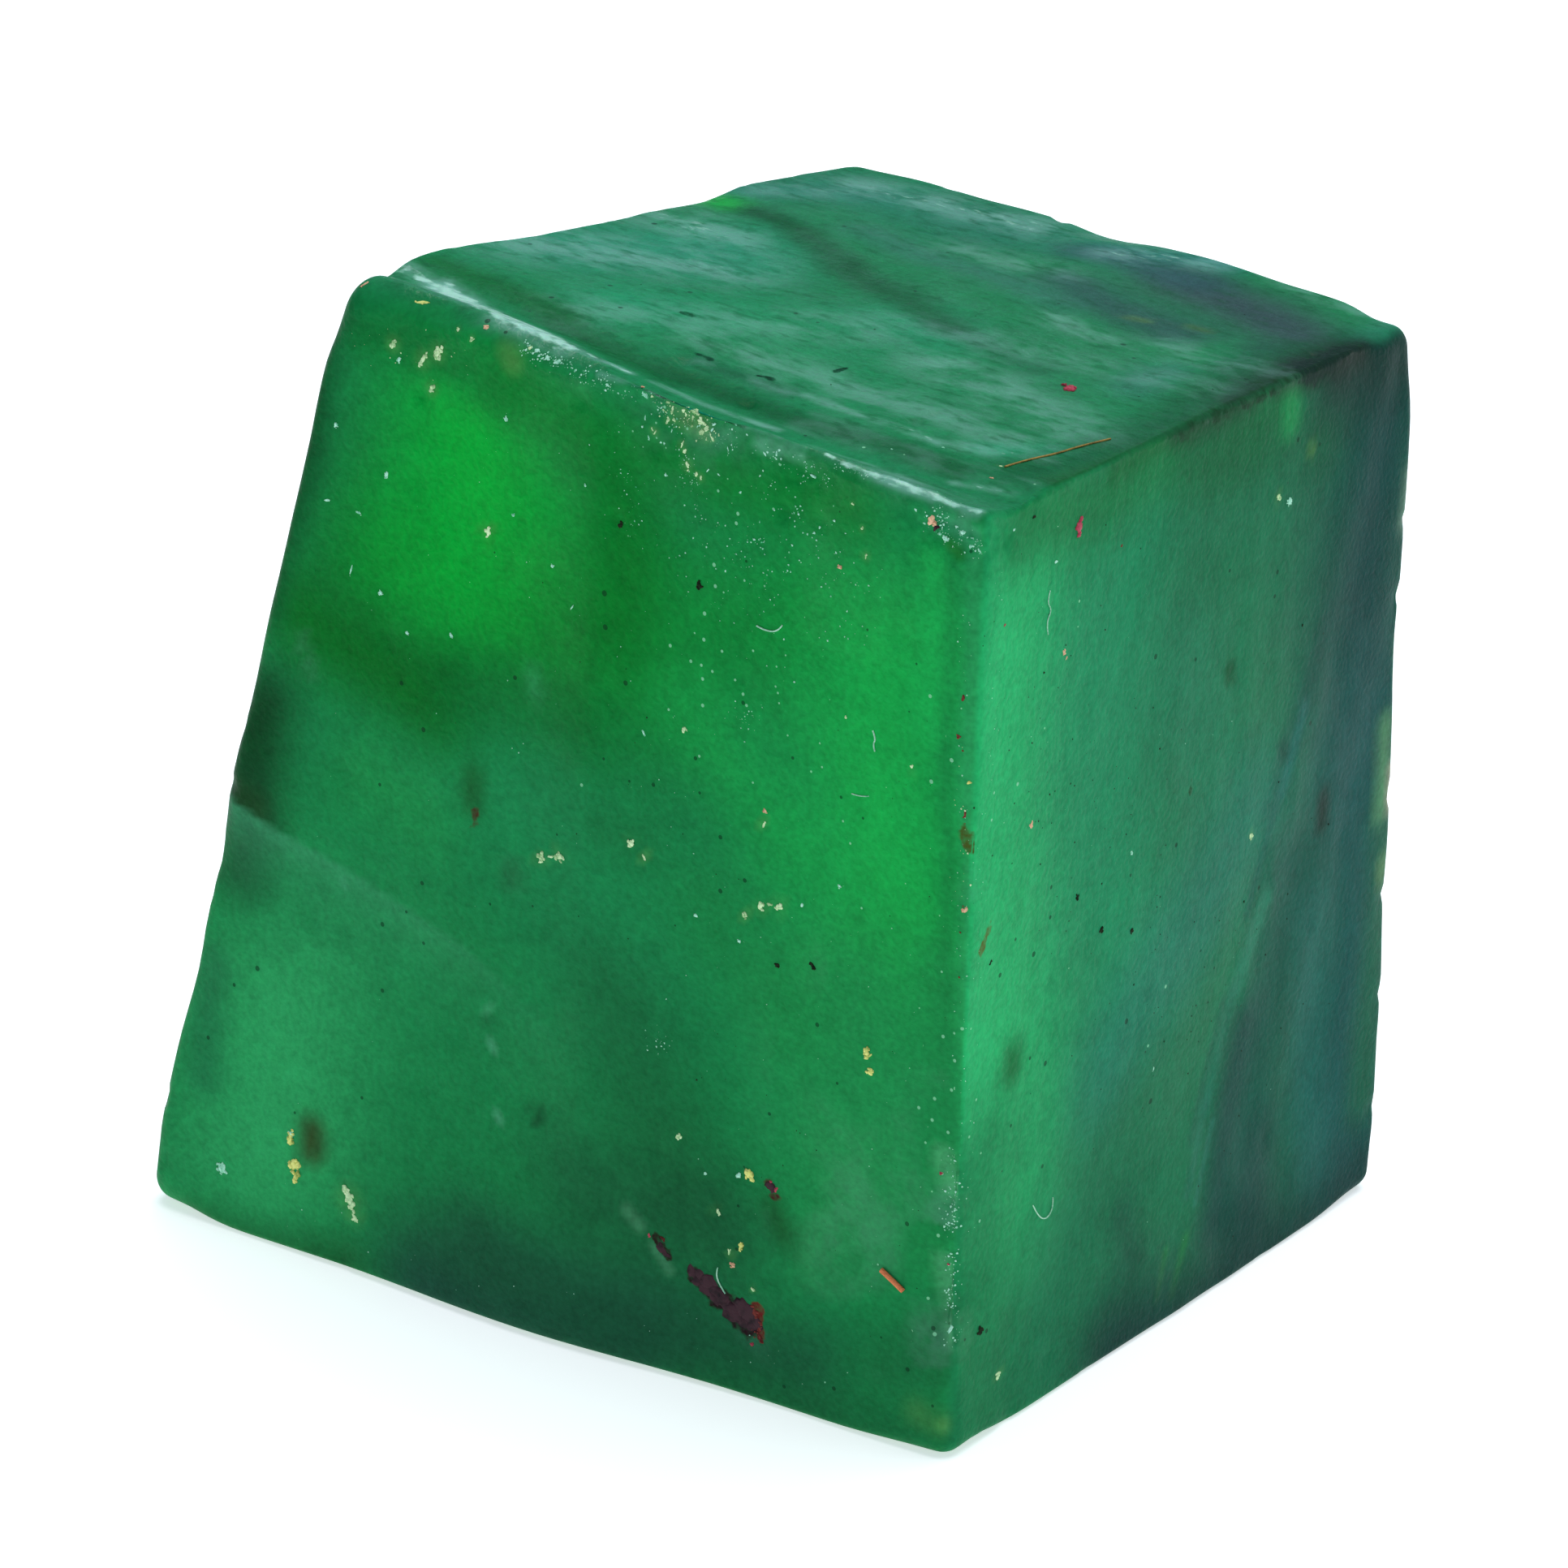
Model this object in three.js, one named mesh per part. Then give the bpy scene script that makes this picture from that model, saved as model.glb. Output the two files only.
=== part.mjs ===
// A raw emerald: one squarish block of cloudy green stone, sawn and broken to shape and then worn
// along its edges and corners. It is a single solid that stands on its own flat foot.
// Millimetres, +Z up. The front faces -Y. The origin lies under the middle of the block, at the foot.
import * as THREE from "three";
import { ImprovedNoise } from "three/addons/math/ImprovedNoise.js";

// The block is first shaped as a straight box about its own middle, and then drawn to its corners.
const halfWidth = 20;
const halfDepth = 16;
const halfHeight = 19.5;
const half = [halfWidth, halfDepth, halfHeight];

// Where the block's eight corners would be if they were sharp, and how far each is worn round.
// side says which end of x, y and z the corner is at.
const corners = [
  { side: [-1, -1, -1], at: [-20, -16.4, 0], wear: 1.4 }, // left front foot
  { side: [1, -1, -1], at: [19.9, -15.6, 0], wear: 0.8 }, // right front foot
  { side: [1, 1, -1], at: [19.9, 15.6, 0], wear: 0.9 }, // right back foot
  { side: [-1, 1, -1], at: [-18.8, 17.2, 0], wear: 1.5 }, // left back foot
  { side: [-1, -1, 1], at: [-9.7, -14.9, 41.5], wear: 1.8 }, // left front top
  { side: [1, -1, 1], at: [21.1, -16.3, 38.1], wear: 0.6 }, // right front top, the sharpest
  { side: [1, 1, 1], at: [19.9, 16, 37.3], wear: 1.3 }, // right back top
  { side: [-1, 1, 1], at: [-8.2, 17.5, 38.4], wear: 1.0 }, // left back top
];
const edgeRound = 0.35; // radius along the edges
const wearReach = 5; // how far a corner's wear runs along its edges

// Stretches of edge that are worn rounder than the rest, as lines on the straight box.
const wornEdges = [
  { from: [-20, -16, 0], to: [-20, -16, 39], radius: 0.9, reach: 3 }, // left front
  { from: [-20, 16, 0], to: [-20, 16, 39], radius: 0.8, reach: 3 }, // left back
  { from: [20, 16, 4], to: [20, 16, 39], radius: 0.6, reach: 3 }, // right back
  { from: [-20, -16, 39], to: [-6, -16, 39], radius: 1.2, reach: 5 }, // top front, on the left
  { from: [12, -16, 39], to: [18, -16, 39], radius: 0.75, reach: 4 }, // top front, on the right
  { from: [-20, -4, 39], to: [-20, 16, 39], radius: 0.8, reach: 4 }, // top left
];

// Sections of the surface mesh: across each rounded edge, and across each face between the edges.
const arcSteps = 3;
const faceSteps = 22;
const edgeCrowding = 0.25; // draws the face's sections towards its edges, where the relief is

// Slow swells and smaller lumps all over the stone.
const swell = { height: 0.24, length: 11 };
const lump = { height: 0.1, length: 4.5 };

// Top: a worn rim along the front edge, a trough behind it, and a low step up towards the back.
const rim = { height: 0.16, fromEdge: 0.9, width: 0.8 };
const trough = { depth: 0.5, fromEdge: 2.3, width: 1.0, sway: 0.6, swayLength: 6.5 };
const topStep = { height: 0.32, y: 2.3, bend: 0.009, bendAt: 4, width: 1.4, fadeFrom: 2, fadeTo: 14 };

// Front: a flake has come off low on the left, under a ledge that slants down to the right.
const ledge = { z: 15, slope: -0.2, atX: -6.5, riser: 0.9, depth: 0.36, fadeFrom: -8, fadeTo: 1 };
const scarFoot = { from: 3, to: 9 }; // heights between which the flake's scar runs out
const frontSwell = { x: 1, z: 1, radius: 7.5, height: 0.85 }; // the block is fullest here, at its foot

// Right: long slanting furrows left by the saw, where across = y - lean * z.
const furrowLean = 0.33;
const furrows = [
  { across: 2.4, width: 0.75, height: -0.24 },
  { across: 0.9, width: 0.7, height: 0.14 },
  { across: -1.2, width: 0.8, height: -0.12 },
  { across: 6.6, width: 1.1, height: -0.2 },
];

// Left: two broad shells where flakes have come away, the lower one cutting into the upper one.
const leftShells = [
  { y: 5, z: 27, radius: 12, depth: 0.7 },
  { y: -6, z: 12, radius: 10, depth: 0.6 },
];

// Back: a broken ledge across the middle and the curved marks of the saw below it.
const backLedge = { z: 23, slope: 0.16, riser: 1.1, depth: 0.55 };
const sawMark = { height: 0.09, spacing: 3.4, centreX: 60, centreZ: -20 };

// Chips, pits and one nub. Each follows a short line from one point to another on the straight box,
// and takes away the stone within its radius, to its depth. A depth below zero adds stone.
const chips = [
  { from: [18.4, -16, 38.6], to: [19.6, -16, 37.8], radius: 1.7, depth: 0.4 }, // top front corner
  { from: [19.8, -16, 12.4], to: [19.8, -16, 11.3], radius: 1.4, depth: 0.35 },
  { from: [19.8, -16, 7.6], to: [19.8, -16, 6.0], radius: 1.5, depth: 0.4 },
  { from: [20, -16, 25.6], to: [20, -15.2, 24.9], radius: 1.2, depth: 0.25 },
  { from: [2.0, -16, 39], to: [4.2, -16, 38.7], radius: 1.5, depth: 0.3 },
  { from: [-14.5, -16, 38.6], to: [-12.6, -16, 38.8], radius: 1.6, depth: 0.3 },
  { from: [-20, -16, 15.6], to: [-20, -16, 14.6], radius: 1.8, depth: 0.16 }, // under the nub
  { from: [-20, -16, 10.0], to: [-20, -16, 9.4], radius: 1.9, depth: 0.28 },
  { from: [-20, -16, 18.6], to: [-19, -16, 18.2], radius: 1.6, depth: -0.35 }, // nub over the ledge
  { from: [7.6, -16, 4.3], to: [10.8, -16, 2.7], radius: 1.3, depth: 0.5 }, // the iron-stained pit
  { from: [11, -16, 9.2], to: [11.6, -16, 8.2], radius: 1.1, depth: 0.22 },
  { from: [17.5, 15.6, 39], to: [20, 12, 39], radius: 2.0, depth: 0.2 },
  { from: [-2, 16, 39], to: [0, 16, 39], radius: 1.4, depth: 0.25 },
  { from: [-20, 4, 39], to: [-20, 5.6, 39], radius: 1.4, depth: 0.25 },
  { from: [20, 16, 12], to: [20, 16, 14], radius: 1.8, depth: 0.15 },
  { from: [-20, 16, 24], to: [-20, 16, 29], radius: 2.4, depth: 0.6 },
  { from: [-7, 16, 0], to: [-2, 16, 1.5], radius: 2.6, depth: 0.6 },
  { from: [-20, -3, 0.5], to: [-20, 2.5, 1], radius: 2.2, depth: 0.5 },
  { from: [9, 16, 9], to: [10.5, 16, 10.5], radius: 1.8, depth: 0.4 },
];

const stoneGreen = 0x1d7d45;

const { smoothstep, lerp, degToRad } = THREE.MathUtils;
const noise = new ImprovedNoise();
const hump = (t) => Math.exp(-t * t);

// The weight of a box's corner at a point of the box: 1 at that corner and 0 at the others.
const shareOf = (side, point) =>
  side.reduce((share, s, axis) => (share * (1 + (s * point[axis]) / half[axis])) / 2, 1);

const nearest = new THREE.Vector3();
function distanceToLine(point, { from, to }) {
  const line = new THREE.Line3(new THREE.Vector3(...from), new THREE.Vector3(...to));
  return line.closestPointToPoint(point, true, nearest).distanceTo(point);
}

// Draws the straight box to the block's real corners.
function toCorners(point) {
  const drawn = new THREE.Vector3();
  for (const { side, at } of corners) {
    drawn.addScaledVector(new THREE.Vector3(...at), shareOf(side, point));
  }
  return drawn;
}

function roundingAt(point) {
  const here = new THREE.Vector3(...point);
  const near = (distance, reach) => 1 - smoothstep(distance, 0, reach);
  let radius = edgeRound;
  for (const { side, wear } of corners) {
    const corner = new THREE.Vector3(...side.map((s, axis) => s * half[axis]));
    radius += (wear - edgeRound) * near(here.distanceTo(corner), wearReach);
  }
  for (const worn of wornEdges) {
    const away = distanceToLine(here.clone().setZ(here.z + halfHeight), worn);
    radius = Math.max(radius, lerp(edgeRound, worn.radius, near(away, worn.reach)));
  }
  return radius;
}

function topRelief(x, y) {
  const fromEdge = y + halfDepth + trough.sway * Math.sin(x / trough.swayLength);
  const step = topStep.y + topStep.bend * (x - topStep.bendAt) ** 2;
  const stepHeight = topStep.height * (1 - smoothstep(x, topStep.fadeFrom, topStep.fadeTo));
  return (
    rim.height * hump((fromEdge - rim.fromEdge) / rim.width) -
    trough.depth * hump((fromEdge - trough.fromEdge) / trough.width) +
    stepHeight * (smoothstep(y, step - topStep.width, step) - 0.5)
  );
}

function frontRelief(x, z) {
  const lip = ledge.z + ledge.slope * (x - ledge.atX);
  const below = smoothstep(lip - z, -ledge.riser / 2, ledge.riser / 2);
  const alongLedge = 1 - smoothstep(x, ledge.fadeFrom, ledge.fadeTo);
  const scar = ledge.depth * below * alongLedge * smoothstep(z, scarFoot.from, scarFoot.to);
  const fromSwell = Math.hypot(x - frontSwell.x, z - frontSwell.z) / frontSwell.radius;
  return frontSwell.height * hump(fromSwell) - scar;
}

function rightRelief(y, z) {
  const across = y - furrowLean * z;
  return furrows.reduce((sum, f) => sum + f.height * hump((across - f.across) / f.width), 0);
}

function leftRelief(y, z) {
  const shells = leftShells.map((shell) => {
    const t = Math.hypot(y - shell.y, z - shell.z) / shell.radius;
    return t < 1 ? -shell.depth * (1 - t * t) : 0;
  });
  return Math.min(...shells);
}

function backRelief(x, z) {
  const lip = backLedge.z + backLedge.slope * x;
  const below = smoothstep(lip - z, 0, backLedge.riser);
  const arc = Math.hypot(x - sawMark.centreX, z - sawMark.centreZ) / sawMark.spacing;
  const marks = sawMark.height * Math.cos(2 * Math.PI * arc) * below;
  return marks - backLedge.depth * below * smoothstep(z, scarFoot.from, lip);
}

function chipsAt(point) {
  let taken = 0;
  for (const chip of chips) {
    const t = distanceToLine(point, chip) / chip.radius;
    if (t < 1) taken += chip.depth * (1 - t * t) ** 2;
  }
  return taken;
}

// How far the surface stands out of the straight box at a point, given the way it faces there.
// Each face's own relief counts by how squarely the surface faces that way, so it blends at the edges.
function reliefAt(point, facing) {
  const { x, y } = point;
  const z = point.z + halfHeight;
  const noiseAt = ({ height, length }) =>
    height * noise.noise(x / length + 7.3, y / length + 2.1, z / length + 4.7);
  const sides =
    facing.x ** 2 * (facing.x > 0 ? rightRelief(y, z) : leftRelief(y, z)) +
    facing.y ** 2 * (facing.y > 0 ? backRelief(x, z) : frontRelief(x, z)) +
    facing.z ** 2 * topRelief(x, y);
  const worn = sides + noiseAt(swell) + noiseAt(lump) - chipsAt(new THREE.Vector3(x, y, z));
  return worn * (1 - Math.max(0, -facing.z)); // the foot itself stays flat
}

// Sections along one axis. inner is where a section starts inside the box, from -1 to 1, and lean is
// the slope at which it then runs out to the surface: 0 on a face, up to 1 at the middle of an edge.
const arc = Array.from({ length: arcSteps }, (_, i) =>
  Math.tan(degToRad((45 * (i + 1)) / arcSteps)),
);
const across = Array.from({ length: faceSteps + 1 }, (_, i) => {
  const t = (2 * i) / faceSteps - 1;
  return (1 - edgeCrowding) * t + edgeCrowding * Math.sin((Math.PI / 2) * t);
});
const sections = [
  ...arc.toReversed().map((lean) => ({ inner: -1, lean: -lean })),
  ...across.map((inner) => ({ inner, lean: 0 })),
  ...arc.map((lean) => ({ inner: 1, lean })),
];
const last = sections.length - 1;
const isFlat = (i) => i >= arcSteps && i < last - arcSteps; // the cell from section i to the next

// The surface point at sections a, b, c of the three axes, of which at least one is an end section.
function surfacePoint(index) {
  const at = index.map((i) => sections[i]);
  const outer = at.map(({ inner }, axis) => inner * half[axis]);
  const radius = roundingAt(outer);
  const facing = new THREE.Vector3(...at.map(({ lean }) => lean)).normalize();
  const point = new THREE.Vector3(...at.map(({ inner }, axis) => inner * (half[axis] - radius)));
  point.addScaledVector(facing, radius);
  point.addScaledVector(facing, reliefAt(point, facing));
  return toCorners(point.toArray());
}

function blockGeometry() {
  const positions = [];
  const triangles = [];
  const known = new Map();

  const add = (point) => positions.push(point.x, point.y, point.z) / 3 - 1;
  function vertex(index) {
    const key = index.join();
    if (!known.has(key)) known.set(key, add(surfacePoint(index)));
    return known.get(key);
  }

  for (let axis = 0; axis < 3; axis++) {
    for (const end of [0, last]) {
      const isFoot = axis === 2 && end === 0;
      const corner = (i, j) => {
        const index = [];
        index[axis] = end;
        index[(axis + 1) % 3] = i;
        index[(axis + 2) % 3] = j;
        return vertex(index);
      };
      for (let i = 0; i < last; i++) {
        for (let j = 0; j < last; j++) {
          if (isFoot && isFlat(i) && isFlat(j)) continue;
          const [p, q, r, s] = [corner(i, j), corner(i + 1, j), corner(i + 1, j + 1), corner(i, j + 1)];
          if (end) triangles.push(p, q, r, p, r, s);
          else triangles.push(p, r, q, p, s, r);
        }
      }
    }
  }

  // The flat foot is one fan of triangles from its middle to the start of its rounded edge.
  const [low, high] = [arcSteps, last - arcSteps];
  const outline = [];
  for (let i = low; i < high; i++) outline.push([i, low]);
  for (let j = low; j < high; j++) outline.push([high, j]);
  for (let i = high; i > low; i--) outline.push([i, high]);
  for (let j = high; j > low; j--) outline.push([low, j]);
  const middle = add(toCorners([0, 0, -halfHeight]));
  outline.forEach(([i, j], n) => {
    const [nextI, nextJ] = outline[(n + 1) % outline.length];
    triangles.push(middle, vertex([nextI, nextJ, 0]), vertex([i, j, 0]));
  });

  const geometry = new THREE.BufferGeometry();
  geometry.setAttribute("position", new THREE.Float32BufferAttribute(positions, 3));
  geometry.setIndex(triangles);
  geometry.computeVertexNormals();
  return geometry;
}

// Sets the geometry over the origin, without changing its height.
function centred(geometry) {
  geometry.computeBoundingBox();
  const middle = geometry.boundingBox.getCenter(new THREE.Vector3());
  return geometry.translate(-middle.x, -middle.y, 0);
}

const stone = new THREE.Mesh(
  centred(blockGeometry()),
  new THREE.MeshStandardMaterial({ color: stoneGreen, roughness: 0.45, metalness: 0 }),
);
stone.name = "emerald";

const rawEmerald = new THREE.Group();
rawEmerald.add(stone);

export default rawEmerald;
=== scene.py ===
from functools import partial
from math import atan, cos, pi, radians, sin
from random import Random

import bmesh
import bpy
import numpy as np
from mathutils import Matrix, Vector
from mathutils.bvhtree import BVHTree
from mathutils.geometry import intersect_point_line
from mathutils.noise import noise


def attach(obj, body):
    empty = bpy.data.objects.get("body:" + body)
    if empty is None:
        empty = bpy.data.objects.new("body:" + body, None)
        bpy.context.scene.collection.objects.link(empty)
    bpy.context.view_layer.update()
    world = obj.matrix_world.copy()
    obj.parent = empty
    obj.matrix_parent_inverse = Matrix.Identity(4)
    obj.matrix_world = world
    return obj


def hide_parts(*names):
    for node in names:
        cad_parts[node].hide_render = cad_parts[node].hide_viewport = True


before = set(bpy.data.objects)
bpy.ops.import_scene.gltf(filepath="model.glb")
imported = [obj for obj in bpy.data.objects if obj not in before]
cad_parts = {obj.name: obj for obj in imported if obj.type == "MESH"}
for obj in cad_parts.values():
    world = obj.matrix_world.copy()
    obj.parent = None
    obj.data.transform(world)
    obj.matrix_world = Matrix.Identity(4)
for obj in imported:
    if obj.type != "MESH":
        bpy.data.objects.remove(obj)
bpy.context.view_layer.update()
mm = 0.001
print("frame loaded")


def linear(hexColour):
    # sRGB hex to the linear colour that Blender's sockets take
    channels = [int(hexColour[i : i + 2], 16) / 255 for i in (1, 3, 5)]
    return [c / 12.92 if c <= 0.04045 else ((c + 0.055) / 1.055) ** 2.4 for c in channels] + [1.0]


def addNode(tree, kind, *values, **settings):
    # kind is a node's type without its family's name, and then its operation after a dot, such as Math.ADD;
    # values fill the sockets in turn, or one dictionary names them; a value may be another node's output
    kind, _, operation = kind.partition(".")
    family = next(f for f in ("ShaderNode", "GeometryNode", "FunctionNode") if hasattr(bpy.types, f + kind))
    node = tree.nodes.new(family + kind)
    if operation:
        node.operation = operation
    for name, value in settings.items():
        setattr(node, name, value)
    named = values[0] if values and isinstance(values[0], dict) else dict(enumerate(values))
    for key, value in named.items():
        if isinstance(value, bpy.types.NodeSocket):
            tree.links.new(value, node.inputs[key])
        else:
            node.inputs[key].default_value = value
    return node.outputs


def newGroup(name, sockets):
    # an empty Geometry Nodes group with the given inputs, which takes and gives a mesh
    tree = bpy.data.node_groups.new(name, "GeometryNodeTree")
    tree.interface.new_socket(name="Geometry", in_out="OUTPUT", socket_type="NodeSocketGeometry")
    tree.interface.new_socket(name="Geometry", in_out="INPUT", socket_type="NodeSocketGeometry")
    for socketName, socketKind in sockets:
        tree.interface.new_socket(name=socketName, in_out="INPUT", socket_type="NodeSocket" + socketKind)
    return tree, tree.nodes.new("NodeGroupInput").outputs, tree.nodes.new("NodeGroupOutput")


def newMaterial(name):
    material = bpy.data.materials.new(name)
    material.use_nodes = True
    tree = material.node_tree
    tree.nodes.clear()
    output = tree.nodes.new("ShaderNodeOutputMaterial")
    return material, tree, output


def newObject(name, mesh):
    piece = bpy.data.objects.new(name, mesh)
    bpy.context.scene.collection.objects.link(piece)
    return piece


def bakedMesh(piece, name):
    # what the modifiers or the curve make, as a plain mesh; the piece itself goes
    bpy.context.view_layer.update()
    graph = bpy.context.evaluated_depsgraph_get()
    mesh = bpy.data.meshes.new_from_object(piece.evaluated_get(graph), depsgraph=graph)
    mesh.name = name
    bpy.data.objects.remove(piece)
    return mesh


def runTree(tree, mesh, name, values):
    # puts a mesh through a Geometry Nodes tree; each value finds its input by name and is set by identifier
    carrier = newObject(name, mesh)
    modifier = carrier.modifiers.new(name, "NODES")
    modifier.node_group = tree
    for socket in tree.interface.items_tree:
        if socket.in_out == "INPUT" and socket.name in values:
            modifier[socket.identifier] = values[socket.name]
    return bakedMesh(carrier, name)


# The stone's sides and what shows on them. A side's own two axes give its places in mm: (x, z) on the front
# and the back, (y, z) on the right and the left, and (x, y) on the top. A mark is a soft stroke: from, to and
# reach in mm, then its strength, or its colour and its strength. A shelf is a line, how far it fades below
# the line in mm, its colour and its strength.
# Among the stone's own colour zones, the tints also paint light: a painted glow where light shines through
# the stone, painted shade where edges round away and in the top's hollows, and painted sheen on the top.
sides = {}
sides["front"] = {
    "facing": (0, -1, 0),
    "axes": (0, 2),
    "ground": "#18884a",
    "tints": [
        ((-7, 29.6), (3, 30), 8.5, "#047c28", 0.85), ((5, 31), (11.5, 32), 6.5, "#0a9038", 0.8),
        # these two bright tints by the right edge are a painted glow where light shines through the corner
        ((16.6, 31.5), (16.8, 20.5), 7.2, "#17ae4c", 0.93), ((18.6, 35.6), (18.7, 30), 1.7, "#1cb454", 0.75),
        ((15.5, 17), (15.5, 10), 6.5, "#229650", 0.85), ((8, 28), (12, 23.5), 3.5, "#19a84c", 0.6),
        # the bright tint at (-2.8, 34.6) is a painted glow where light shines through the stone's upper left
        ((9, 20), (12, 16), 4.0, "#1d9048", 0.5), ((-2.8, 34.6), (-3.4, 31.4), 8.2, "#02ae38", 1.0),
        ((4.0, 36.5), (4.2, 31), 3.8, "#027a26", 0.85), ((-11, 27.2), (-4.6, 24.4), 3.5, "#067426", 1.0),
        ((-4, 25.4), (2.0, 26.0), 3.0, "#027026", 0.95), ((-8, 21.2), (-4.5, 20.0), 3.2, "#1f9a4e", 0.65),
        ((0.5, 21.5), (4, 16.5), 7.5, "#1b8a4f", 0.8), ((3.4, 22.2), (5.4, 22.0), 1.8, "#186c38", 0.4),
        ((-8.4, 38.8), (-1, 38.2), 1.9, "#087a34", 0.75), ((-1, 38.0), (15, 37.0), 2.6, "#04822e", 0.8),
        ((-12.2, 10), (-13.4, 4.6), 8.0, "#30a862", 0.95),
        # these dark tints down the left edge are painted shade where the edge rounds away
        ((-10.2, 39.6), (-13.4, 27.8), 2.1, "#065428", 0.9),
        ((-13.6, 23.4), (-13.8, 19.4), 3.4, "#0c4420", 0.95),
        ((-14.2, 19.4), (-14.8, 16.4), 2.8, "#164e2c", 0.8),
        ((-16.2, 11.6), (-16.8, 7), 1.8, "#1c6c44", 0.6), ((-4.2, 0.2), (5.5, 2.2), 5.6, "#1e4e3e", 0.92),
        ((3.6, 16), (8, 9), 4.6, "#186036", 0.6), ((3, 7.6), (9, 7.0), 4.6, "#1a5c38", 0.75),
        ((-2, 3), (13.4, 2.2), 4.0, "#1a583a", 0.8), ((-16.5, 0.2), (-9, 0.2), 2.4, "#1c6434", 0.8),
        ((8, 0), (19, 0), 2.4, "#1a643a", 0.6), ((-3, 22.4), (-3, 21.4), 1.1, "#175a28", 0.8),
        ((-1, 19.2), (-1, 18.8), 1.0, "#2b6240", 0.5), ((-11.2, 5.7), (-11.15, 4.9), 1.25, "#33441f", 0.95),
        ((-15.6, 19.7), (-13.9, 19.0), 1.3, "#1b4420", 0.8),
        ((18.2, 1.7), (19.8, 1.4), 1.1, "#4c8c48", 0.55), ((19.3, 1.45), (19.8, 1.35), 0.6, "#68ac5c", 0.6),
        # the light strip on the edge to the right side, at (20.2, 37), is a painted glow where light shines
        # through the corner
        ((19.1, 36), (18.9, 2), 0.7, "#187c40", 0.45), ((20.2, 37), (20.0, 3), 0.9, "#2ca05c", 0.9),
        ((-1.75, 39.85), (-1.4, 39.35), 0.9, "#5c9c4c", 0.6),
        ((6.6, 38.9), (7.6, 38.6), 0.7, "#5f9c50", 0.6), ((18.4, 37.4), (19.8, 37.2), 0.8, "#34a468", 0.55),
        ((18.9, 36.7), (19.3, 36.4), 0.45, "#24701c", 0.6), ((11.3, 8.4), (11.8, 7.4), 1.0, "#1a5a2c", 0.8),
        ((-2.5, 12.5), (-2.45, 12.3), 0.5, "#186438", 0.7),
        ((-2.6, 13.1), (-2.6, 13.0), 0.32, "#48a470", 0.6),
        ((-2.3, 11.7), (-2.3, 11.6), 0.3, "#5cb888", 0.7),
        ((-1.75, 8.65), (-1.7, 8.55), 0.36, "#58a880", 0.65), ((0.1, 9.6), (0.25, 9.2), 0.5, "#0e4626", 0.8),
        ((-9.9, 16.45), (-9.85, 16.35), 0.36, "#4aa878", 0.5), ((17.4, 3), (19.6, 4.4), 3.0, "#1a6a3c", 0.7),
        ((18.8, 20), (18.8, 8), 1.8, "#1c8a48", 0.5), ((-0.2, 27.3), (-0.1, 26.6), 0.75, "#2c9454", 0.7),
        ((-11.9, 26.2), (-11.3, 25.0), 0.6, "#3c8c5c", 0.5), ((4.55, 6.7), (5.1, 6.2), 0.5, "#569c70", 0.5),
        ((5.75, 5.5), (6.45, 4.6), 0.4, "#569c70", 0.5), ((18.9, 12.5), (19.3, 11.4), 0.8, "#58b478", 0.7),
        ((19.0, 8.2), (19.1, 6.6), 0.7, "#58b078", 0.6), ((19.2, 5.6), (19.4, 5.0), 0.55, "#64ba80", 0.6),
    ],
    "shelves": [
        # the pale band under the ledge is partly the stone's milky cloud and partly painted sheen
        (((-16.5, 19.0), (-13.9, 18.1), (-9.8, 17.1), (-3.8, 15.4), (1.5, 12.5)), 1.6, "#3f9a6a", 0.75),
    ],
    "stains": [
        ((7.6, 4.45), (8.6, 3.9), 0.5, "#2a161c", 1.0), ((8.6, 3.9), (10.1, 3.1), 0.66, "#2a161c", 1.0),
        ((10.4, 4.0), (10.5, 2.9), 0.34, "#6e2420", 1.0), ((5.8, 5.8), (6.4, 5.0), 0.22, "#2a1c18", 1.0),
        ((10.9, 9.2), (11.3, 8.9), 0.3, "#4a2420", 0.8), ((-3.1, 21.1), (-3.0, 20.8), 0.3, "#4a3824", 0.8),
        ((19.6, 25.9), (20.1, 25.2), 0.4, "#4c5a22", 0.8),
    ],
    # frost on the front's top edge, with a painted highlight along it
    "frost": [((10.0, 38.7), (13.4, 38.8), 0.7, 0.54), ((13.5, 38.74), (19.6, 38.12), 0.34, 1.0)],
    "dust": [
        ((6, 37), (16, 34.5), 3.4, 0.8), ((8, 31), (17, 26), 7.0, 0.5), ((18.6, 30), (18.6, 6), 1.8, 0.9),
    ],
    "broken": [
        ((17.6, 37.4), (19.8, 36.9), 1.3, 1.0), ((9.6, 38.3), (13.4, 37.9), 0.9, 0.6),
        ((4.2, 38.9), (8.0, 38.4), 1.0, 0.7), ((19.0, 12.6), (19.0, 10.0), 0.8, 1.0),
        ((19.0, 8.4), (19.0, 5.4), 0.8, 1.0),
    ],
}
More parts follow.
